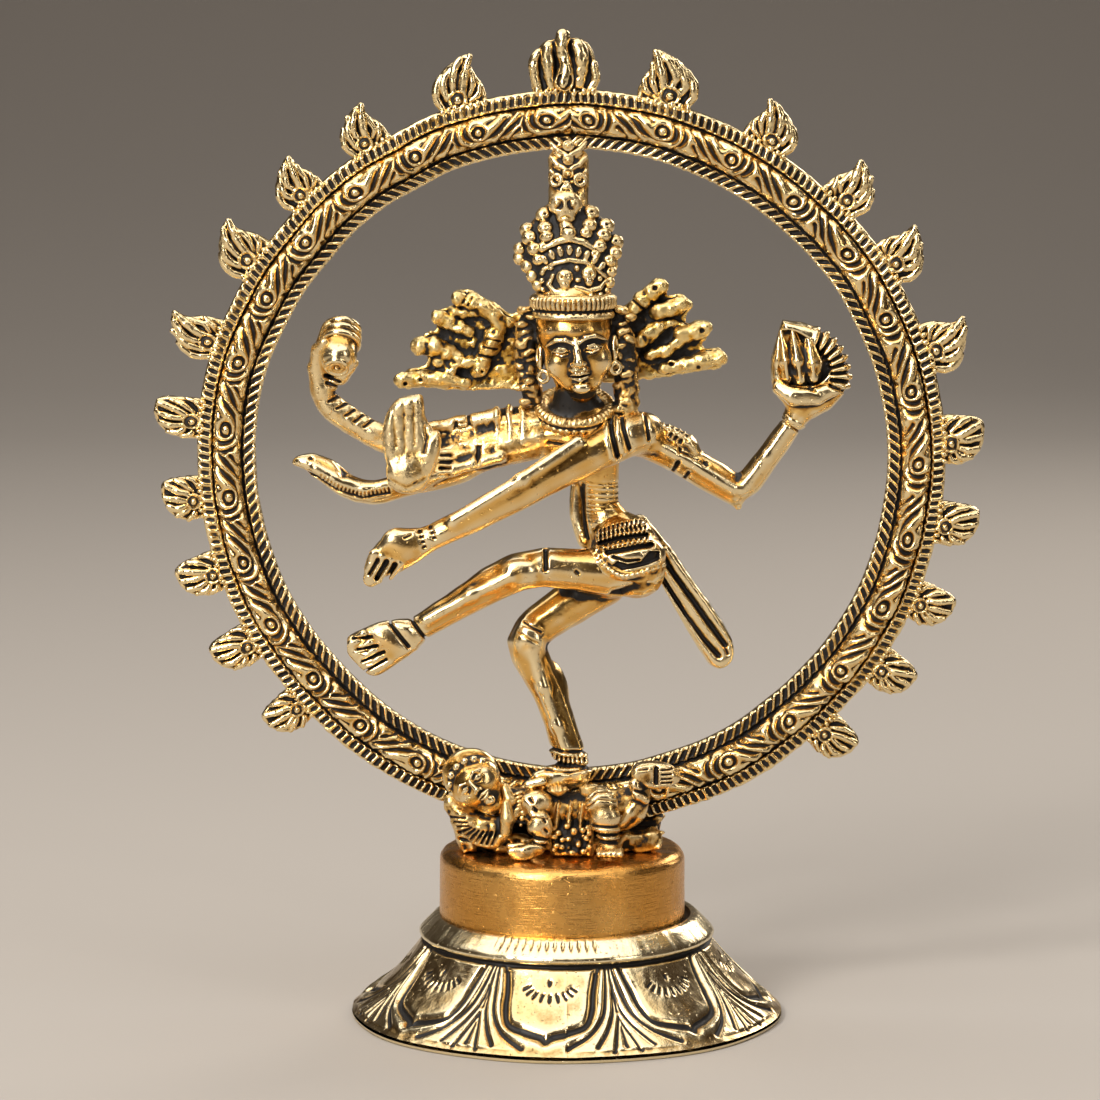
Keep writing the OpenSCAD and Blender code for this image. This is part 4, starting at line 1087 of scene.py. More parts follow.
def hip_wrap():
    c = Clay.of("hip_wrap", 0.14, smooth=0.7, lo=(3.5, -12.4, 78))
    c.ell((10.9, -6.4, 84.6), (6.7, 4.6, 4.4), 1)
    c.ell((9.9, -4.9, 88.4), (5.1, 4.2, 3.2), 1.2)
    hem = curve([(5.4, 85.8), (6.3, 83.9), (7.9, 82.4), (9.9, 81.5), (12.2, 81.8), (14.4, 82.5),
        (17.2, 83.1)], 6)
    back = [(5.4, -8.4), (6.3, -9.9), (7.9, -10.6), (9.9, -10.8), (12.2, -10.4), (14.4, -9.6), (17.2, -7.2)]
    run = run_along(np.array(hem))
    for t in np.arange(0, run[-1], 0.92):
        x, z = (np.interp(t, run, [p[i] for p in hem]) for i in (0, 1))
        y = np.interp(x, [p[0] for p in back], [p[1] for p in back])
        c.ell((x, y + 0.5, z), (0.7, 0.6, 0.7), 0.4)
        c.ell((x, y - 0.1, z), (0.5, 0.6, 0.5), 0.05)
    for pts, w, h, pitch in (([(5.6, 88.6), (8.4, 89.7), (11, 90.2), (13.4, 90.5)], 0.42, 0.5, 0.8),
                             ([(5.6, 87.6), (8.6, 88.7), (11.2, 89.1), (13.9, 89.3)], 0.42, 0.5, 0.8),
                             ([(6.4, 86.4), (9.2, 87.1), (11.8, 87.6), (14.4, 87.7)], 0.42, 0.5, 0.9)):
        c.lift(pts, w, h)
        c.ticks(pts, pitch, 0.9, 0.17, 0.6, 0.35)
    c.cut([(5.8, 87), (8.8, 88), (11.4, 88.4), (14.2, 88.5)], 0.26, 0.8)
    c.cut([(7.2, 85.6), (9.8, 86.1), (12.4, 86.6), (15, 86.8)], 0.42, 1)
    c.cut([(8.2, 84.9), (10.4, 84.2), (12.8, 84.3)], 0.3, 0.9)
    patch = within(*c.plan(), [(9, 84.2), (10.8, 83.6), (13.2, 84.2), (14.6, 85.8), (16.4, 85.6),
        (16.3, 84.2), (14.4, 83.5), (11.8, 82.9), (9.8, 82.6), (8.2, 83.4)])
    c.down = np.maximum(c.down, 0.9 * (1 - step(patch, -0.3, 0.25)))
    c.press(-6.2, -5.2)
    c.rough(0.06, 0.9, 27)
    c.fillet(["torso", "raised_leg"], 0.7)
    cast(c, "figure", [(15.4, 84.4, 1.6, 0.9, 1.9), (11.8, 83.3, 2.6, 0.6, 1.9), (11, 86.3, 3.6, 0.4, 0.8),
        (9, 88, 4, 2.4, 0.25)])


def sash_tail():
    c = Clay.of("sash_tail", 0.16)
    c.slab(curve([(15.4, 87.6), (18.6, 84.2), (23.2, 78.4), (27.9, 71.8), (30, 67.4), (29.6, 64.6),
                  (27.4, 63.3), (25.2, 65), (22.6, 69.4), (19.6, 74.6), (17.2, 79.2), (15, 82)], 3),
           -2.3, 0.6, 1.2, 0.5)
    c.cut([(16.6, 84.8), (19.2, 80.6), (22.8, 75.6), (26.2, 70.8), (28.4, 67.8)], 0.5, 0.95)
    c.cut([(16.4, 81.2), (18.4, 78), (21.6, 73), (24.8, 68.6), (27.2, 65.9)], 0.46, 0.95)
    c.lift([(17, 82.4), (20.4, 77.6), (24.2, 72), (27.6, 67.6)], 0.45, 0.3)
    c.lift([(18, 85.2), (22, 79.6), (26.4, 73.4), (29.2, 68.4)], 0.5, 0.25)
    c.cut([(27.9, 68.6), (28.9, 66.2)], 0.3, 0.45)
    c.press(-0.9, -0.2)
    c.rough(0.09, 1.4, 29)
    c.fillet(["hip_wrap"], 1)
    cast(c, "figure", [(15.4, 88, 2, 3, 0.3), (20, 80.5, 2, 2, 0.15)])


def standing_leg():
    c = Clay.of("standing_leg", 0.18, lo=(-9, -11, 42))
    c.ell((-6.7, -6.6, 69.4), (2.7, 2.2, 3.2), 1.2, -16)
    c.chain([(-6.4, -7.4, 67.6), (-4.2, -7.3, 61), (-1.8, -6.9, 54), (-0.2, -6.8, 49.6)],
        [0.9, 0.9, 0.8, 0.8], 1.2)
    c.ell((-2.2, -2.6, 60.2), (2.4, 2.4, 5), 1, -12)
    # the foot, with the toes to the left
    c.chain([(1.9, -5.6, 45), (-1.6, -6.6, 44.9), (-5, -7.4, 44.4)], [2.3, 2.1, 1.5], 0.9)
    for i in range(4):
        c.seg((-4.4, -9.4 + 1.35 * i, 44.3), (-6.9 + 0.2 * i, -9.2 + 1.35 * i, 43.7), 0.85, 0.7, 0.2)
    c.rough(0.12, 2.6, 31)
    c.band((0.7, -4.4, 48), (0.1, 0, 1), 6,
           [(1.3, 0.3, -0.45), (0.55, 0.45, 0.45), (-0.4, 0.4, 0.35), (-1.25, 0.3, -0.4), (-2.1, 0.45, 0.3)])
    c.ticks([(-3, 48.1), (0.6, 47.7), (4.2, 48.1)], 0.82, 1.5, 0.17, 0.45)
    c.cut([(-3.6, 46.2), (0.6, 45.7), (4.8, 46.3)], 0.26, 0.5)
    c.cut([(-7.6, 72.6), (-4.6, 71)], 0.24, 0.3)
    c.cut([(-8.6, 71), (-5.2, 69.2)], 0.2, 0.2)
    c.press(-4.8, -3.8)
    c.fillet(["raised_leg"], 1.4)
    cast(c, "figure", [(2, 77.4, 4.5, 2.2, 0.75), (-4.5, 73.8, 2.5, 1.4, 0.6), (-7.5, 66, 1.6, 2, 0.15),
        (0.6, 46.2, 5, 0.8, 0.3)])


def raised_leg():
    c = Clay.of("raised_leg", 0.18)
    foot = curve([(-27.4, 73.2), (-31.9, 73.6), (-36.2, 72.2), (-39, 70.3), (-38.9, 68), (-37.2, 66),
                  (-35.2, 64.4), (-33.4, 64.1), (-30.9, 65.6), (-26.6, 68.6)], 3)
    c.slab(foot, -13, -9.6, 1.4, 0.8)
    c.ell((-31.2, -12.2, 70), (3.6, 1.6, 2.2), 1, 32)
    for a, b in (((-36, 71.4), (-38.2, 69.6)), ((-35, 69.9), (-37.5, 67.8)),
                 ((-34.2, 68.6), (-36.4, 66.4)), ((-33.4, 67.4), (-35.1, 65.2))):
        c.seg((a[0], -12.6, a[1]), (b[0], -12.3, b[1]), 0.95, 0.8, 0.2)
    c.ell((-8.4, -12, 82.4), (3, 1.9, 2.4), 1.2, 18)
    c.chain([(-10, -12.9, 81.8), (-17, -12.8, 78.4), (-25, -12.7, 73.9)], [0.9, 0.8, 0.7], 1.2)
    X, Z = c.plan()
    under = np.interp(X, [3, 4, 8, 12, 16, 19], [0, 70, 78.2, 79.5, 79.2, 80.5]) - Z
    c.D = smax(c.D, under[:, None, :].astype(np.float32), 1.6)
    c.rough(0.12, 3, 33)
    c.cut([(-27.9, 74.4), (-26.6, 72.6), (-24.9, 70.3)], 0.28, 0.75)
    c.cut([(-31.3, 73.2), (-29.8, 71.4), (-28, 69.2)], 0.3, 0.75)
    c.lift([(-29.6, 73.8), (-28.1, 71.9), (-26.4, 69.8)], 1.1, 0.3)
    for a, b in (((-37.8, 70.6), (-34.6, 71)), ((-37, 68.7), (-33.6, 69.4)),
                 ((-36.2, 66.6), (-32.4, 68.3)), ((-35.6, 64.9), (-32, 66.9))):
        c.cut([a, b], 0.24, 0.75)
    for a in ((-37.4, 70.2), (-36.5, 68.2), (-35.5, 66.1)):
        c.cut([a, (a[0] + 1, a[1] + 0.25)], 0.16, 0.3)
    c.cut([(-3.8, 85.8), (-3.8, 82.9)], 0.42, 0.9)
    c.cut([(1.6, 82.4), (2, 82)], 0.3, 0.4)
    c.press(-9.4, -8.6)
    c.fillet(["standing_leg", "hip_wrap"], 1)
    cast(c, "figure", [
        (2, 86.2, 3.6, 1.2, 1), (-17, 80.2, 5, 0.8, 0.6), (-36, 67.6, 2, 2, 0.15)])


# ---------------------------------------------------------------- head, hair and crown

def head():
    c = Clay.of("head", 0.12, smooth=0.7, lo=(-7.5, -14.8, 112.4), hi=(10.8, 2, 130))
    t = radians(6.7)
    mid_x, mid_z = 1.85, 120.5

    def at(a, y, z):
        """a across the face and z up it, in the head's own tilt."""
        up = z - mid_z
        return mid_x + a * cos(t) - up * sin(t), y, mid_z + a * sin(t) + up * cos(t)

    def flat(pts):
        return [at(a, 0, z)[::2] for a, z in pts]

    c.ell(at(0, -8.6, 116.3), (3.9, 2.7, 2.6), 1.2)
    c.ell(at(0, -7.4, 125), (5.8, 4.4, 2.6), 1)
    for s in (-1, 1):
        c.ell(at(3.2 * s, -8.9, 119.4), (2.7, 2.3, 2.9), 1.2)
        c.ell(at(2.75 * s, -12.4, 122), (1.95, 1.15, 1.15), 0.7, cut=True)
        c.chain([at(0.6 * s, -11.8, 122.9), at(1.8 * s, -11.9, 123.7), at(3.4 * s, -11.4, 123.8),
                 at(5.2 * s, -9.9, 122.9)], [0.28, 0.4, 0.38, 0.22], 0.3)
        c.ell(at(2.75 * s, -10.8, 121.7), (1.5, 0.9, 0.85), 0.12)
        c.chain([at(1.3 * s, -11.2, 121.5), at(2.1 * s, -11.7, 122.15), at(3.1 * s, -11.6, 122.35),
                 at(4.5 * s, -10.5, 121.7)], [0.2, 0.24, 0.24, 0.16], 0.1)
        c.chain([at(1.4 * s, -11.1, 121.3), at(2.7 * s, -11.4, 120.9), at(4.2 * s, -10.6, 121.5)],
                [0.14, 0.17, 0.14], 0.1)
        c.ell(at(0.95 * s, -12.5, 119.3), (0.55, 0.7, 0.5), 0.2)
        c.ell(at(0.45 * s, -13.1, 118.75), (0.25, 0.34, 0.25), 0.15, cut=True)
        # ears with long lobes and ring earrings
        c.ell(at(6.6 * s, -6.8, 120.9), (0.8, 1.3, 2.4), 0.3, tilt=-8)
        c.ell(at(7.1 * s, -7.5, 121.2), (0.45, 0.6, 1.3), 0.3, cut=True)
        c.hoop(at(6.4 * s, -7.3, 117.4), 0.95, 0.42, (0.5 * s, -1, 0), 0.2)
    c.chain([at(0, -11.6, 123.3), at(0, -12.4, 121.6), at(0, -13.1, 119.9)], [0.5, 0.58, 0.8], 0.5)
    c.ell(at(0, -13.2, 119.5), (0.9, 0.85, 0.75), 0.3)
    c.ell(at(0, -11.2, 118.2), (1.6, 0.9, 1), 0.6)
    c.chain([at(-1.8, -11.4, 117.25), at(-0.6, -12.2, 117.65), at(0, -12.25, 117.5), at(0.6, -12.2, 117.65),
             at(1.8, -11.4, 117.25)], [0.18, 0.34, 0.32, 0.34, 0.18], 0.2)
    c.chain([at(-1.4, -11.5, 116.8), at(0, -12.1, 116.45), at(1.4, -11.5, 116.8)], [0.2, 0.42, 0.2], 0.2)
    c.ell(at(0, -11.2, 114.9), (1.6, 1, 1), 0.7)
    X, Y, Z = c.grid()
    hair = step(Y, -5.6, -4.6) * step(Z, 113.5, 114.5)
    c.swell(hair * (0.45 + 0.28 * np.cos(2 * np.pi * (X - 1.8) / 1.3 + 0.5 * np.sin(Z * 0.8))))
    for s in (-1, 1):
        c.cut(flat([(1.4 * s, 121.5), (2.7 * s, 121.28), (4.3 * s, 121.6)]), 0.11, 0.28)
    c.cut(flat([(-1.8, 117.2), (-0.7, 117.08), (0, 117), (0.7, 117.08), (1.8, 117.2)]), 0.13, 0.34)
    c.press(-9.4, -8.8)
    c.rough(0.04, 1.4, 35)
    # the spots paint shadow under the chin, and take patina away under the nose
    cast(c, "figure", [
        (1, 126.4, 7, 0.7, 0.4), (2, 118.3, 1.6, 0.6, -1.3), (2.2, 117, 2, 0.6, -0.4),
        (3.4, 112.9, 7, 1.5, 1.7), (-5.2, 119, 1, 4, 0.5), (8.6, 119.4, 1, 4, 0.5)])


def locks(node, x, seed):
    """A side lock: a column of curls at x."""
    c = Clay.of(node, 0.16)
    lo, hi = cad(node)
    zs = np.arange(lo[2] + 1, hi[2], 1.25)
    for i, z in enumerate(zs):
        c.ell((x + 0.9 * sin(2.2 * i), -5.4 + 0.4 * cos(1.3 * i), z), (1.3, 1.1, 0.75), 0.15,
            25 * sin(1.7 * i))
    c.rough(0.3, 1.2, seed)
    c.rough(0.12, 0.6, seed + 20)
    c.fillet(["head", "necklace"], 0.6)
    cast(c, "rough_dark", [(x, 119, 3, 10, 1)])


def diadem():
    c = Clay.of("diadem", 0.14, smooth=0.25)
    X, Y, Z = c.grid()
    ang = np.arctan2(X - 1.1, -(Y + 4.8))
    bar = np.cos(ang * 50)
    band = step(Z, 128.5, 128.8) * (1 - step(Z, 130.5, 130.8))
    c.swell(0.30 * band * (step(bar, -0.6, 0.1) - 0.75))
    c.swell(-0.42 * ridge(Z - 128.35, 0.22))
    c.swell(0.18 * ridge(Z - 127.3, 0.5))
    c.swell(-0.3 * ridge(Z - 126.75, 0.16))
    dot = np.cos(ang * 34)
    c.swell(-0.3 * ridge(Z - 128, 0.18) * step(dot, 0.4, 0.8))
    c.rough(0.07, 1.5, 37)
    cast(c, "aged", [(-5.6, 129.6, 1.6, 1.6, 0.9), (8.4, 129.6, 2.4, 1.6, 0.9)])


def crown():
    c = Clay.of("crown", 0.14, pad=2.0, smooth=0.6, lo=(-11.5, -12, 129), hi=(12, 3, 150.5))
    c.D += 0.3
    zs = [130.6, 134, 138.6, 143, 146, 150]
    xc, wd = [1.8, 1, 0.3, 0.3, 0.3, 0.3], [6.8, 7.7, 9.2, 7.6, 4.6, 3.8]
    yc, dp = [-3.6, -3.4, -3, -2.6, -2.2, -2.4], [5.8, 5.6, 5, 4, 3, 2.2]

    def on(x, z, out=0.0):
        """The point of the crown's front at x and z, out mm in front of it."""
        t = (x - np.interp(z, zs, xc)) / np.interp(z, zs, wd)
        return (x, np.interp(z, zs, yc) - np.interp(z, zs, dp) * sqrt(max(0.05, 1 - t * t)) + 0.45 - out, z)

    c.slab(curve([(-7.9, 138.4), (-7.2, 142.2), (-5.2, 144.6), (-3, 147), (3.2, 147), (5.2, 145),
                  (7.2, 142.8), (8.8, 139.4), (8.4, 134.4), (2, 132), (-6, 132.4)], 3), -4.4, -1, 1.2, 0.6)
    # lobed locks of hair, fanning out
    for lock in (
            [(-4.4, 145.5, 1.5), (-4.2, 143.3, 1.35), (-3.9, 141.2, 1.25), (-4.6, 139.4, 1)],
            [(-7.6, 142.9, 1.35), (-7.1, 140.9, 1.45), (-6.2, 139.1, 1.3), (-5.4, 137.3, 1.1)],
            [(-9, 139, 1.2), (-8.9, 137.4, 1.35), (-7.5, 136, 1.25), (-6.5, 134.3, 1.2), (-5.5, 132.7, 1.15)],
            [(4.6, 145.9, 1.4), (4.2, 143.8, 1.3), (3.5, 141.9, 1.15)],
            [(7.4, 143.6, 1.5), (6.9, 141.5, 1.4), (6.1, 139.6, 1.25), (5.3, 138.2, 0.9)],
            [(9.2, 140.1, 1.45), (9, 138.3, 1.35), (8, 137, 1.2), (8.3, 135.1, 1.1), (8, 133.2, 1.05)]):
        lock = [(0.3 + 0.92 * (x - 0.3), z - 0.6 * (z > 142), r) for x, z, r in lock]
        for x, z, r in lock:
            c.ell(on(x, z, 0.1), (r * 1.06, r * 0.95, r), 0.1)
            c.ell(on(x + 0.1 * r, z + 0.25 * r, 1.15 * r), (0.34, 0.4, 0.26), 0.06, cut=True)
        for (x0, z0, r0), (x1, z1, r1) in zip(lock[:-1], lock[1:]):
            c.seg(on(x0, z0, 0), on(x1, z1, 0), r0 * 0.72, r1 * 0.72, 0.1)
    # skull with ring eyes
    c.ell((-0.35, -5.6, 147), (3, 1.7, 2.4), 0.15)
    c.ell((-0.25, -5.9, 144.9), (1.75, 1.3, 1.7), 0.5)
    for x in (-1.8, 1.1):
        c.hoop((x, -7.2, 147.1), 0.82, 0.4, (0, 1, 0.1), 0.12, cut=True)
        c.ell((x, -7, 147.1), (0.4, 0.4, 0.4), 0.08)
    c.chain([(-1.2, -7.1, 144.6), (-0.2, -7.4, 145), (0.8, -7.1, 144.6)], [0.26, 0.34, 0.26], 0.1, cut=True)
    c.chain([on(-0.2, 143.2, 0.1), on(0.2, 141.8, 0.2)], [1.25, 1.5], 0.15)
    c.chain([on(-0.9, 142.6, 1.1), on(0.2, 143, 1.4), on(1.2, 142.6, 1.1)], [0.16, 0.2, 0.16], 0.1, cut=True)
    # arched ridge, the arc of upright beads under it and its sill
    c.chain([on(-4.6, 138.9, 0.2), on(-1.9, 140.4, 0.4), on(0.4, 141, 0.5), on(2.8, 140.4, 0.4),
        on(5, 138.9, 0.2)], [0.5, 0.65, 0.75, 0.65, 0.5], 0.12)
    for x, z in ((-4, 137.3), (-2.7, 138.2), (-1.2, 138.8), (0.4, 139), (2, 138.7), (3.4, 138), (4.8, 137.2),
                 (6.1, 136.2)):
        c.ell(on(x, z, 0.45), (0.56, 0.5, 0.98), 0.08, 8 * (x - 0.4))
    c.chain([on(-4.2, 135.6, 0.3), on(-2.2, 136.7, 0.4), on(0.4, 137.3, 0.5), on(3.2, 136.9, 0.4),
        on(5.6, 135.4, 0.3), on(7, 134, 0.2)], [0.36, 0.4, 0.42, 0.42, 0.4, 0.36], 0.1)
    # two small skulls, and leaves at the foot
    for x, z, r in ((-0.4, 134.3, 1.5), (3.8, 134.9, 1.35)):
        c.ell(on(x, z, 0.3), (r, 1.1, r), 0.12)
        c.ell(on(x + 0.05, z - 1.3, 0.4), (r * 0.55, 0.8, r * 0.7), 0.3)
        for s in (-0.55, 0.55):
            c.ell(on(x + s, z + 0.1, 1.5), (0.32, 0.45, 0.36), 0.1, cut=True)
        c.seg(on(x, z - 0.7, 1.6), on(x, z - 0.9, 1.6), 0.2, 0.2, 0.1, cut=True)
    c.chain([on(1.6, 132.6, 0.3), on(3.6, 131.9, 0.4), on(5.8, 132.4, 0.3), on(7, 133.8, 0.2)],
        [0.4, 0.5, 0.45, 0.3], 0.1)
    c.chain([on(-2.4, 134.6, 0.2), on(-3.2, 133, 0.3), on(-2.2, 131.7, 0.3), on(-0.4, 131.6, 0.4)],
            [0.35, 0.45, 0.5, 0.4], 0.1)
    for x, z in ((-4.3, 135), (-4.4, 133.6), (-4.2, 132), (-3, 131.2), (5.9, 131.2), (7, 132),
                 (4.2, 131), (-2.8, 135.9), (1.7, 135.9), (1.9, 133.8), (5.7, 134)):
        c.ell(on(x, z, 0.2), (0.5, 0.5, 0.5), 0.1)
    # the back: hair combed down in strands
    X, Y, Z = c.grid()
    comb = np.cos(2 * np.pi * (X - 0.3) / (1.6 - 0.02 * np.abs(Z - 138)) + 0.5 * np.sin(Z * 0.7))
    c.swell(0.28 * comb * step(Y, -2.2, -1.2))
    c.rough(0.08, 0.8, 39)
    cast(c, "aged", [(0, 146.6, 2.4, 1.8, -0.3), (0.5, 132.5, 9, 2.4, 0.35)])


def crown_stay():
    c = Clay.of("crown_stay", 0.14, smooth=0.4, lo=(-4.6, -7, 144))
    mid = 0.2
    for z, y in ((157.2, -3.9), (154.7, -4.1), (152.3, -4.3)):
        c.ell((mid, y, z), (1.05, 0.8, 1.05), 0.12)
        c.hoop((mid, y - 0.7, z), 0.62, 0.3, (0, 1, 0), 0.1, cut=True)
        c.ell((mid, y - 0.6, z), (0.34, 0.4, 0.34), 0.08)
        for s in (-1, 1):
            c.chain([(mid + 0.5 * s, y - 0.1, z - 1.5), (mid + 1.8 * s, y + 0.2, z - 0.9),
                (mid + 3.1 * s, y + 1, z + 0.5)], [0.42, 0.5, 0.34], 0.1)
            c.chain([(mid + 1.4 * s, y + 0.3, z + 0.5), (mid + 2.4 * s, y + 0.7, z + 1.2)], [0.3, 0.24], 0.08)
    c.ell((-0.1, -5, 149.9), (0.7, 0.6, 0.55), 0.1)
    for s in (-1, 1):
        c.hoop((mid + 2.1 * s, -4.4, 151.2), 0.95, 0.34, (0.4 * s, -1, 0), 0.1)
        c.chain([(-0.1 + 0.2 * s, -5, 150.8), (-0.1 + 1.0 * s, -5.2, 149.2)], [0.26, 0.32], 0.1)
    X, Y = c.grid()[:2]
    c.swell(0.2 * np.cos(2 * np.pi * (X - 0.3) / 1.5) * step(Y, -1.6, -0.8))
    c.rough(0.1, 0.9, 41)
    c.fillet(["ring_band"], 0.8)
    cast(c, "aged")


def necklace():
    c = Clay.of("necklace", 0.14, smooth=0.3, pad=2.0)
    X, Y, Z = c.grid()
    ca, sa = cos(radians(24)), sin(radians(24))
    x, back, up = X - 1.4, Y + 3.6, Z - 110.4
    y, z = back * ca + up * sa, -back * sa + up * ca
    ang = np.arctan2(x, -y)
    q = np.hypot(x, y)
    low = np.hypot(q - 6.7, z + 0.9)
    top = np.hypot(q - 6.3, z - 0.95)
    c.swell(0.75 * np.exp(-(low / 0.8) ** 2) * (0.5 + 0.5 * np.cos(ang * 34)))
    c.swell(0.5 * np.exp(-(top / 0.7) ** 2) * (0.5 + 0.5 * np.cos(ang * 42)))
    c.swell(-0.45 * np.exp(-(np.hypot(q - 7.3, z - 0.1) / 0.3) ** 2))
    c.rough(0.12, 0.8, 43)
    cast(c, "rough_dark", [(1, 112.2, 8, 1.4, 0.8), (-4, 109, 2, 1.4, -0.5)])


def hair_wing(node, strands, pits, cuts, seed):
    """One side's hair, flat at the back. strands are points (x, z, radius)."""
    left = node == "hair_wing_left"
    c = Clay.of(node, 0.2, smooth=0.3, lo=(-32 if left else 5, -3.2, 112), hi=(-4 if left else 30, 3.4, 135))
    Y = c.grid()[1]
    c.D = smax(c.D, 0.7 - Y, 0.3)
    for pts in strands:
        c.chain([(p[0], 0.3 - 0.25 * p[2], p[1]) for p in pts], [p[2] for p in pts], 0.3)
        for p in pts:
            c.ell((p[0] + 0.4 * sin(7 * p[0]), 0.1 - 0.25 * p[2], p[1]),
                (p[2] * 1.06, p[2] * 1.1, p[2] * 0.95), 0.4)
    c.rough(0.34, 1.7, seed)
    c.rough(0.16, 0.7, seed + 1)
    for p in pits:
        c.cut([p, (p[0] + 0.1, p[1])], 0.34, 0.8)
    for a, b in cuts:
        c.cut([a, b], 0.2, 0.45)
    c.press(0.2, 0.8)
    cast(c, "rough", [(p[0], p[1], 0.8, 0.8, 0.5) for p in pits]
         + ([(-8, 121, 3.6, 8, 2.2)] if left else [(10.5, 122, 3.8, 8, 2), (16, 120, 4, 2, 0.7)]))


def hair_wings():
    hair_wing("hair_wing_left", [
        [(-29, 115.4, 1.45), (-25.4, 115.6, 1.55), (-21.8, 115.5, 1.6), (-18.6, 114.9, 0.9)],
        [(-26, 121.4, 1.75), (-23.4, 121.3, 1.75), (-21, 120.2, 1.4), (-19.2, 119.4, 1.2)],
        [(-23, 126.7, 1.35), (-21.4, 125.8, 1.3), (-19.4, 124.8, 1.1), (-17.4, 124, 0.9)],
        [(-18.9, 130, 1.4), (-16.9, 129.3, 1.55), (-14.8, 128.3, 1.5), (-12.6, 126.9, 1.2),
         (-10.6, 125.6, 0.8)],
        [(-11.8, 125.3, 1.2), (-12.8, 123.2, 1.5), (-13.8, 121, 1.55), (-14.8, 119, 1.55),
         (-15.7, 117.4, 1.5)],
        [(-20.2, 118.3, 1.1), (-17.6, 118.6, 1.2), (-15.9, 118.2, 1.3)],
        [(-22.6, 118.6, 1.1), (-21.2, 117, 1)],
        [(-20.4, 127.6, 0.7), (-18.4, 127.4, 0.8), (-16.4, 127.4, 0.8)]],
        [(-26.1, 115.5), (-28.9, 114.8), (-17.8, 131), (-17.4, 122.4), (-18.4, 121.2), (-15.2, 117)],
        [((-11.9, 122.4), (-14.3, 122.9)), ((-12.4, 120.9), (-14.9, 121.4)), ((-13, 119.4), (-15.6, 119.9)),
         ((-17.8, 130.6), (-18.6, 129.2)), ((-16.8, 130.2), (-17.6, 128.8))], 45)
    hair_wing("hair_wing_right", [
        [(11.9, 128.3, 1.2), (13.4, 129.5, 1.5), (15.2, 131, 1.45), (16.6, 132.2, 1.2)],
        [(16.2, 127.6, 1.4), (18.6, 128.1, 1.4), (20.6, 128.8, 1.3)],
        [(20.6, 123.7, 1.4), (22.8, 124, 1.5), (24.4, 124.6, 1.2)],
        [(17.6, 117.3, 0.9), (21, 118.2, 1.4), (24.2, 118.7, 1.5), (27, 119.3, 1.3)],
        [(13.3, 122.3, 1.2), (14.8, 123.8, 1.35), (16.3, 124.9, 1), (18.4, 125.5, 0.8), (20, 125.2, 0.5)],
        [(14.6, 119.8, 0.8), (17.5, 120.6, 1), (19.6, 122, 1.2), (21, 123.2, 1.2)],
        [(8.5, 124, 0.9), (10.5, 126.4, 1), (12, 128, 1)]],
        [(15.6, 131.8), (23.4, 117.8), (24, 124.2), (18.6, 118.2)],
        [((11.6, 129.8), (13.6, 128.2)), ((19.2, 122.9), (17.6, 121.9))], 55)


# ---------------------------------------------------------------- dwarf

def dwarf_head():
    c = Clay.of("dwarf_head", 0.13, smooth=0.6, lo=(-23.4, -15.6, 38), hi=(-10.5, -2.5, 51))
    o = np.array([-16.5, -9.2, 44.3])
    r, u, f = np.array([0.68, 0, 0.73]), np.array([-0.73, 0, 0.68]), np.array([0, -1.0, 0])
    size = 1.13

    def at(a, b, d):
        return tuple(o + size * (r * a + u * b + f * d))

    def ball(p, radii, *more, **kw):
        c.ell(p, tuple(size * v for v in radii), *more, **kw)

    ball(at(0, 0.9, -2.4), (4.5, 2.6, 4.4), 0.5)
    ball(at(0, -0.2, 0.4), (3.6, 3.9, 4.3), 0.8, 47)
    for s in (-1, 1):
        ball(at(1.45 * s, 0.5, 4.5), (1, 0.8, 0.8), 0.4, cut=True)
        ball(at(1.4 * s, 0.45, 3.75), (0.75, 0.5, 0.45), 0.08, -47)
        c.chain([at(0.5 * s, 1.3, 4.2), at(1.5 * s, 1.65, 4), at(2.5 * s, 1.1, 3.3)], [0.2, 0.25, 0.18], 0.2)
        c.chain([at(0.75 * s, 0.6, 4.1), at(1.45 * s, 0.85, 4.2), at(2.2 * s, 0.5, 3.7)], [0.12, 0.14, 0.1],
            0.08)
        ball(at(3.5 * s, 0, 0.8), (0.7, 1, 1.3), 0.2, -47)
        ball(at(0.5 * s, -0.9, 4.6), (0.35, 0.4, 0.3), 0.15)
    c.chain([at(0, 1, 4.1), at(0, -0.6, 5)], [0.3, 0.5], 0.3)
    c.chain([at(-1.1, -2, 4), at(0, -1.75, 4.5), at(1.1, -2, 4)], [0.16, 0.27, 0.16], 0.15)
    c.chain([at(-0.8, -2.35, 4), at(0, -2.55, 4.4), at(0.8, -2.35, 4)], [0.16, 0.28, 0.16], 0.15)
    ball(at(0, -3.4, 3.4), (0.9, 0.7, 0.8), 0.5)
    # cap of curls behind the brow
    for i in range(7):
        a = radians(-75 + 25 * i)
        ball(at(3.6 * sin(a), 0.7 + 3.1 * cos(a), 1.7), (0.6, 0.5, 0.6), 0.3)
    c.rough(0.08, 1.3, 63)
    c.fillet(["dwarf_far_arm"], 0.5)
    cast(c, "figure", [(-21.8, 46.6, 1.8, 3, 2.2), (-17, 50.2, 4, 1.6, 1.8), (-12.4, 41.6, 1.6, 2.6, 0.9),
        (-17, 39.9, 3, 1, 0.8)])


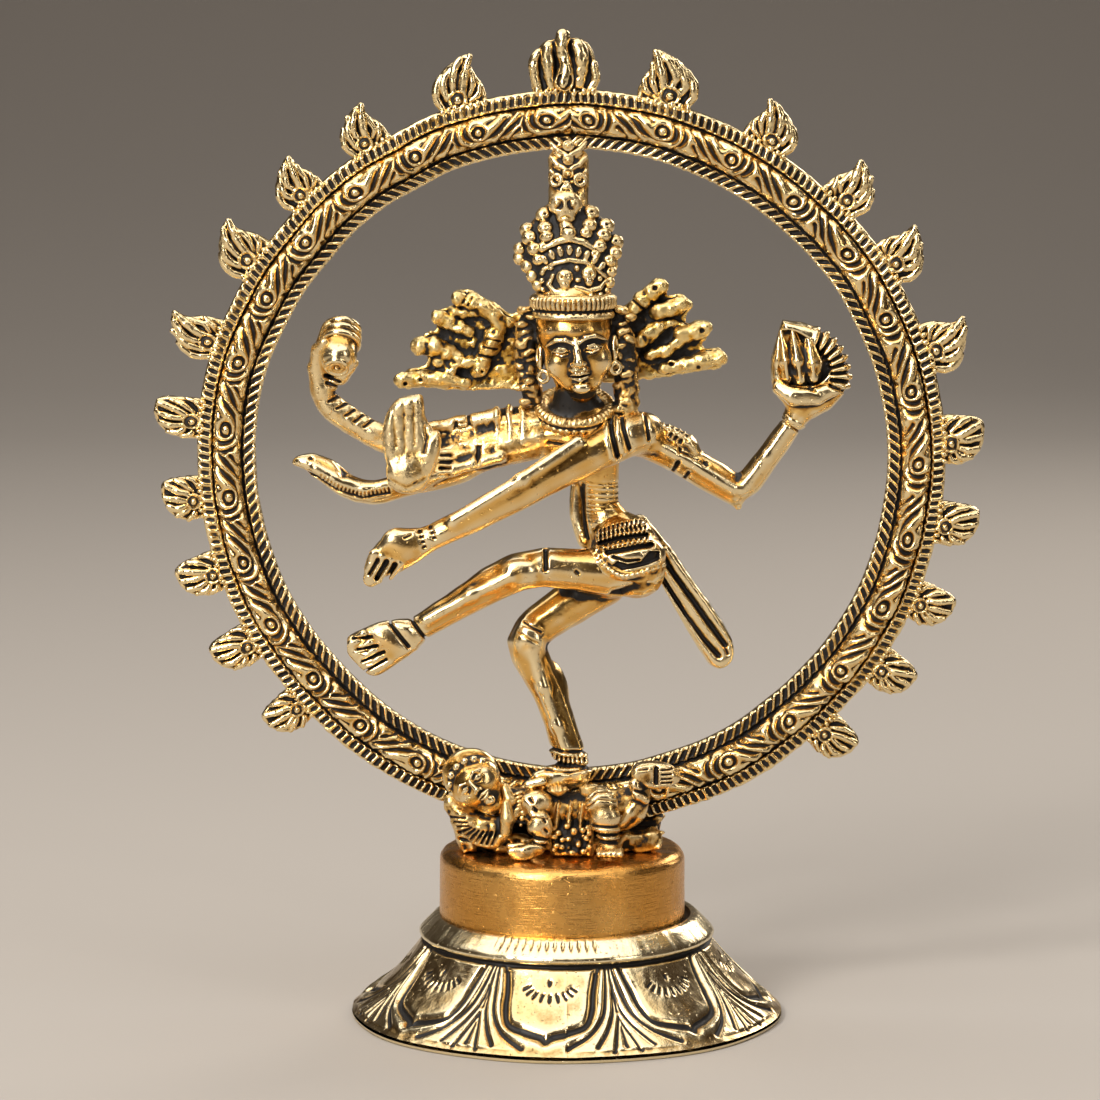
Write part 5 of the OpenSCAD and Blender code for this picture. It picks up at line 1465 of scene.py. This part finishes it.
def dwarf_torso():
    c = Clay.of("dwarf_torso", 0.18, lo=(-17, -12, 34))
    for x, z in curve([(-8.6, 42.4), (-8.7, 40.2), (-9.3, 38.2), (-10.2, 36.4)], 3):
        c.ell((x, -10.2, z), (0.95, 0.6, 0.36), 0.08, -20)
    for x, z in curve([(-7.4, 40.8), (-7.8, 38.8), (-8.2, 36.6)], 2):
        c.ell((x, -10.3, z), (0.5, 0.5, 0.5), 0.08)
    c.chain([(-11, -9.4, 43.2), (-10, -10.2, 41), (-11.2, -10.4, 38.4)], [0.8, 1.1, 0.9], 0.2)
    c.ell((4, -9.6, 42.6), (1.6, 1.2, 1.2), 0.4)
    c.ell((-1.4, -9.9, 42.9), (1.7, 1, 1), 0.4)
    c.rough(0.3, 1.6, 65)
    c.ticks([(-3.6, 43.7), (0.6, 44), (5.4, 44.6)], 0.85, 1.3, 0.24, 0.5)
    c.lift([(-3.6, 42.8), (0.6, 43.1), (5.4, 43.6)], 0.35, 0.3)
    c.press(-7.4, -6.4)
    c.fillet(["figure_plinth"], 0.8)
    # painted shade over the whole piece, more at both sides
    cast(c, "rough_dark", [(-10, 38, 4, 6, 0.3), (9, 41, 3, 3, 0.3)], 0.35)


def dwarf_limbs():
    c = Clay.of("dwarf_near_arm", 0.16)
    c.ell((-5.3, -10.6, 40.6), (2.9, 2, 2.4), 0.6)
    c.ell((-4.9, -12.2, 36.9), (2.3, 1.7, 2.6), 0.6)
    c.chain([(-5.2, -13.2, 33.2), (-7.6, -14, 32.7), (-10, -14, 32.4)], [1.1, 0.9, 0.7], 0.3)
    c.chain([(-5.4, -12.4, 32.6), (-7.8, -12.8, 33.2), (-10.2, -12.6, 33.2)], [1.1, 0.9, 0.65], 0.3)
    c.chain([(-5.8, -11.4, 32.4), (-8, -11.4, 32.6), (-9.8, -11.2, 32.4)], [1, 0.85, 0.6], 0.3)
    c.band((-4.8, -11.9, 34), (0.2, 0.2, 1), 4, [(0.5, 0.25, -0.35), (0, 0.4, 0.25), (-0.6, 0.25, -0.35)])
    c.rough(0.18, 1.4, 67)
    for p in ((-6.6, 41.6), (-4.2, 38.2), (-7, 38.6), (-3.9, 36.4), (-5.9, 40.2), (-6.2, 35.6)):
        c.cut([p, (p[0] + 0.4, p[1] - 0.5)], 0.24, 0.5)
    c.cut([(-7.4, 38.2), (-5.4, 38.6), (-3.4, 38.2)], 0.2, 0.3)
    c.press(-10.4, -9.6)
    # painted shade over the whole arm, with a painted highlight on its middle
    cast(c, "dwarf", [(-5, 38.5, 1.6, 4, -0.7)], 0.5)

    c = Clay.of("dwarf_far_arm", 0.16)
    c.chain([(-20.6, -8.2, 40.2), (-18.4, -8.8, 37.6), (-15, -9.2, 36.2), (-11.6, -9.8, 36.2)],
            [1.7, 2.2, 2.3, 1.8], 0.6)
    c.rough(0.24, 1, 69)
    c.ticks([(-19.6, 38.4), (-18.2, 35.8), (-15.4, 34.6), (-12.4, 34.4)], 0.9, 2.2, 0.26, 0.5, 0.4)
    c.press(-8.6, -7.6)
    c.chain([(-10.9, -11.3, 35.6), (-10.6, -11.7, 38), (-10.8, -11.2, 40.6)], [1.1, 1.25, 0.9], 0.3)
    # painted shade over the whole arm
    cast(c, "rough_dark", darkening=0.45)

    c = Clay.of("dwarf_front_leg", 0.16)
    c.ell((6.1, -12.1, 40.9), (3, 1.9, 2.6), 0.5)
    c.ell((6.9, -12.8, 38.4), (2.5, 1.7, 2.4), 0.8)
    c.band((7.4, -12, 35.8), (0.05, 0, 1), 4.5,
           [(1.2, 0.25, -0.4), (0.5, 0.5, 0.4), (-0.35, 0.2, -0.45), (-0.95, 0.4, 0.35), (-1.7, 0.25, -0.35)])
    for i in range(5):
        c.seg((6.0 + 0.85 * i, -13.6, 32.6), (5.7 + 0.95 * i, -15, 32.2), 0.75, 0.6, 0.15)
    c.rough(0.14, 1.6, 71)
    c.cut([(3.4, 41.4), (5.4, 43), (8.2, 43)], 0.2, 0.3)
    c.cut([(3.6, 40.4), (5.6, 41.9), (8.6, 41.6)], 0.16, 0.22)
    c.cut([(3.3, 42.6), (5, 43.8), (7.8, 43.9)], 0.2, 0.3)
    c.press(-10, -9.2)
    # painted shade over the whole leg, with a painted highlight on the thigh
    cast(c, "dwarf", [(6.6, 39, 1.8, 3.4, -0.75)], 0.5)

    c = Clay.of("dwarf_raised_leg", 0.16, lo=(7, -10.6, 35), hi=(20.6, -3, 49))
    sole = curve([(11.4, 45.4), (12.4, 47), (15, 47.5), (17.6, 47.2), (19.4, 46), (18.9, 43.4), (16.4, 42.7),
                  (13.6, 43), (12, 44)], 3)
    c.slab(sole, -9.4, -5, 1.2, 0.5)
    c.chain([(12.2, -8.6, 43.6), (12.8, -8.9, 41.8), (14, -8.8, 40.9)], [1.2, 1.1, 0.9], 0.3)
    c.chain([(12.4, -8.2, 40), (11.2, -8.6, 38.4), (9.8, -8.6, 36.8)], [1.3, 1.2, 1.1], 0.4)
    c.rough(0.14, 1.5, 73)
    c.cut([(15.9, 46.6), (15.9, 44)], 0.36, 0.9)
    for z in (46.3, 45.5, 44.7, 44):
        c.cut([(16.9, z), (18.7, z + 0.1)], 0.18, 0.5)
    c.cut([(12.8, 46.3), (14.4, 46.5)], 0.2, 0.35)
    c.cut([(12.2, 42.7), (14.4, 42)], 0.3, 0.5)
    c.press(-6.6, -5.8)
    # painted shade over the whole leg and under the sole, with a painted highlight on the sole
    cast(c, "dwarf", [(14.4, 41.4, 1.8, 0.8, 0.9), (16, 45.4, 3, 1.6, -0.4)], 0.6)


def dwarf_loincloth():
    c = Clay.of("dwarf_loincloth", 0.16, smooth=0.4)
    X, Z = c.plan()
    pleat = np.cos(2 * np.pi * (X - 0.45 - 0.08 * (Z - 38)) / 2.15)
    c.stamp((0.55 * pleat - 0.25) * step(Z, 35.6, 36.6) * np.ones_like(Z), -7, -6.2)
    for i in range(26):
        a = 2.4 * i
        c.ell((0.9 + 3.2 * sin(a), -10.6 - 0.5 * cos(3 * a), 31.8 + 0.18 * i), (0.62, 0.6, 0.55), 0.15)
    c.rough(0.2, 1.1, 75)
    # painted shade over the whole cloth, more towards its foot
    cast(c, "rough_dark", [(0.8, 33, 4, 2.4, 0.5)], 0.2)


def figure_plinth():
    c = Clay.of("figure_plinth", 0.2, smooth=0.6)
    c.rough(0.5, 3.4, 77)
    c.rough(0.3, 1.2, 78)
    for s in (-1, 1):
        c.lift(curve([(13 * s, 40.4), (16 * s, 38.2), (17.8 * s, 34.6), (16.8 * s, 31.8)], 4), 0.7, 0.6)
        c.ticks([(19.6 * s, 41.6), (18.8 * s, 37.6), (18.2 * s, 33.2)], 1.3, 1.6, 0.3, 0.5, 0.3)
        c.lift(curve([(8 * s, 38.8), (10.8 * s, 35.4), (9.6 * s, 32.6)], 4), 0.6, 0.5)
    c.press(-3.2, -2)
    c.fillet(["ring_band"], 0.9)
    cast(c, "rough_dark", darkening=0.5)


# ---------------------------------------------------------------- build

for make in (ring_band, lotus_base, pedestal_drum, flames, crown_stay, crown, diadem, head, necklace,
        hair_wings, torso, hip_wrap, sash_tail, standing_leg, raised_leg, rear_right_arm, hand_drum,
        front_right_arm, arm_serpent, front_left_arm, rear_left_arm, shoulder_ribbon, fire_hand,
        fire_tongues, dwarf_head, dwarf_torso, dwarf_limbs, dwarf_loincloth, figure_plinth):
    make()
locks("side_lock_left", -7.2, 47)
locks("side_lock_right", 10.2, 48)
for node in ("fixing_stud", "fixing_washer", "fixing_nut"):
    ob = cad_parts[node]
    ob.data.materials.clear()
    ob.data.materials.append(M["steel"])


# ---------------------------------------------------------------- stage

CAMERA = Vector((-0.003, -0.8, 0.19))
LOOK_AT = Vector((-0.003, 0, 0.08475))
LENS_MM, SENSOR_MM = 147.27, 36
MIDDLE = Vector((0, 0, 0.09))


def place(ob, at, to):
    """Puts an object in the scene at a point, facing another."""
    bpy.context.scene.collection.objects.link(ob)
    ob.location = at
    ob.rotation_euler = (Vector(to) - Vector(at)).to_track_quat("-Z", "Y").to_euler()


cam_data = bpy.data.cameras.new("camera")
cam_data.sensor_width = SENSOR_MM
cam_data.lens = LENS_MM
cam_data.clip_end = 20
cam = bpy.data.objects.new("camera", cam_data)
place(cam, CAMERA, LOOK_AT)
bpy.context.scene.camera = cam

# name, place, width and height, power, colour
for name, at, size, power, color in (
        ("key", (-0.5, -0.7, 0.7), (0.24, 0.24), 6.5, (1, 0.97, 0.93)),
        ("front", (-0.56, -1.02, 0.45), (0.5, 0.46), 3.6, (1, 0.96, 0.9)),
        ("fill", (0.8, -0.7, 0.46), (0.1, 0.54), 1.2, (1, 0.94, 0.86)),
        ("top", (-0.08, -0.04, 0.95), (1.6, 1.35), 12, (1, 0.98, 0.95)),
        ("rim", (0.5, 0.7, 0.5), (0.3, 0.4), 2.2, (1, 0.94, 0.86))):
    light = bpy.data.lights.new(name, "AREA")
    light.shape = "RECTANGLE"
    light.size, light.size_y = size
    light.energy = power
    light.color = color
    place(bpy.data.objects.new(name, light), at, MIDDLE)

world = bpy.data.worlds.new("world")
world.use_nodes = True
world.node_tree.nodes["Background"].inputs[0].default_value = (0.62, 0.46, 0.34, 1)
world.node_tree.nodes["Background"].inputs[1].default_value = 0.1
bpy.context.scene.world = world
bpy.context.scene.view_settings.view_transform = "Standard"


def sweep():
    """Floor that curves up into the backdrop, so no edge shows behind the statue."""
    prof = [(-7.0 + 0.25 * i, 0) for i in range(33)]
    prof += [(1.0 + 1.5 * sin(a), 1.5 - 1.5 * cos(a)) for a in np.radians(np.arange(5, 91, 5))]
    prof += [(2.5, 1.5 + 0.3 * i) for i in range(1, 7)]
    xs = np.linspace(-7, 7, 29)
    V = [(x, y, z) for y, z in prof for x in xs]
    n = len(xs)
    F = [(i * n + j, i * n + j + 1, (i + 1) * n + j + 1, (i + 1) * n + j)
         for i in range(len(prof) - 1) for j in range(n - 1)]
    me = bpy.data.meshes.new("floor")
    me.from_pydata(V, [], F)
    me.polygons.foreach_set("use_smooth", np.ones(len(F), bool))
    m = bpy.data.materials.new("floor")
    m.use_nodes = True
    t = m.node_tree
    b = t.nodes["Principled BSDF"]
    noise = t.nodes.new("ShaderNodeTexNoise")
    noise.inputs["Scale"].default_value = 9
    mix = t.nodes.new("ShaderNodeMix")
    mix.data_type = "RGBA"
    mix.inputs[MIX_A].default_value = (0.43, 0.39, 0.35, 1)
    mix.inputs[MIX_B].default_value = (0.47, 0.43, 0.385, 1)
    t.links.new(noise.outputs["Fac"], mix.inputs[0])
    t.links.new(mix.outputs[MIX_OUT], b.inputs["Base Color"])
    b.inputs["Roughness"].default_value = 0.7
    me.materials.append(m)
    ob = bpy.data.objects.new("floor", me)
    bpy.context.scene.collection.objects.link(ob)
    return ob


sweep()
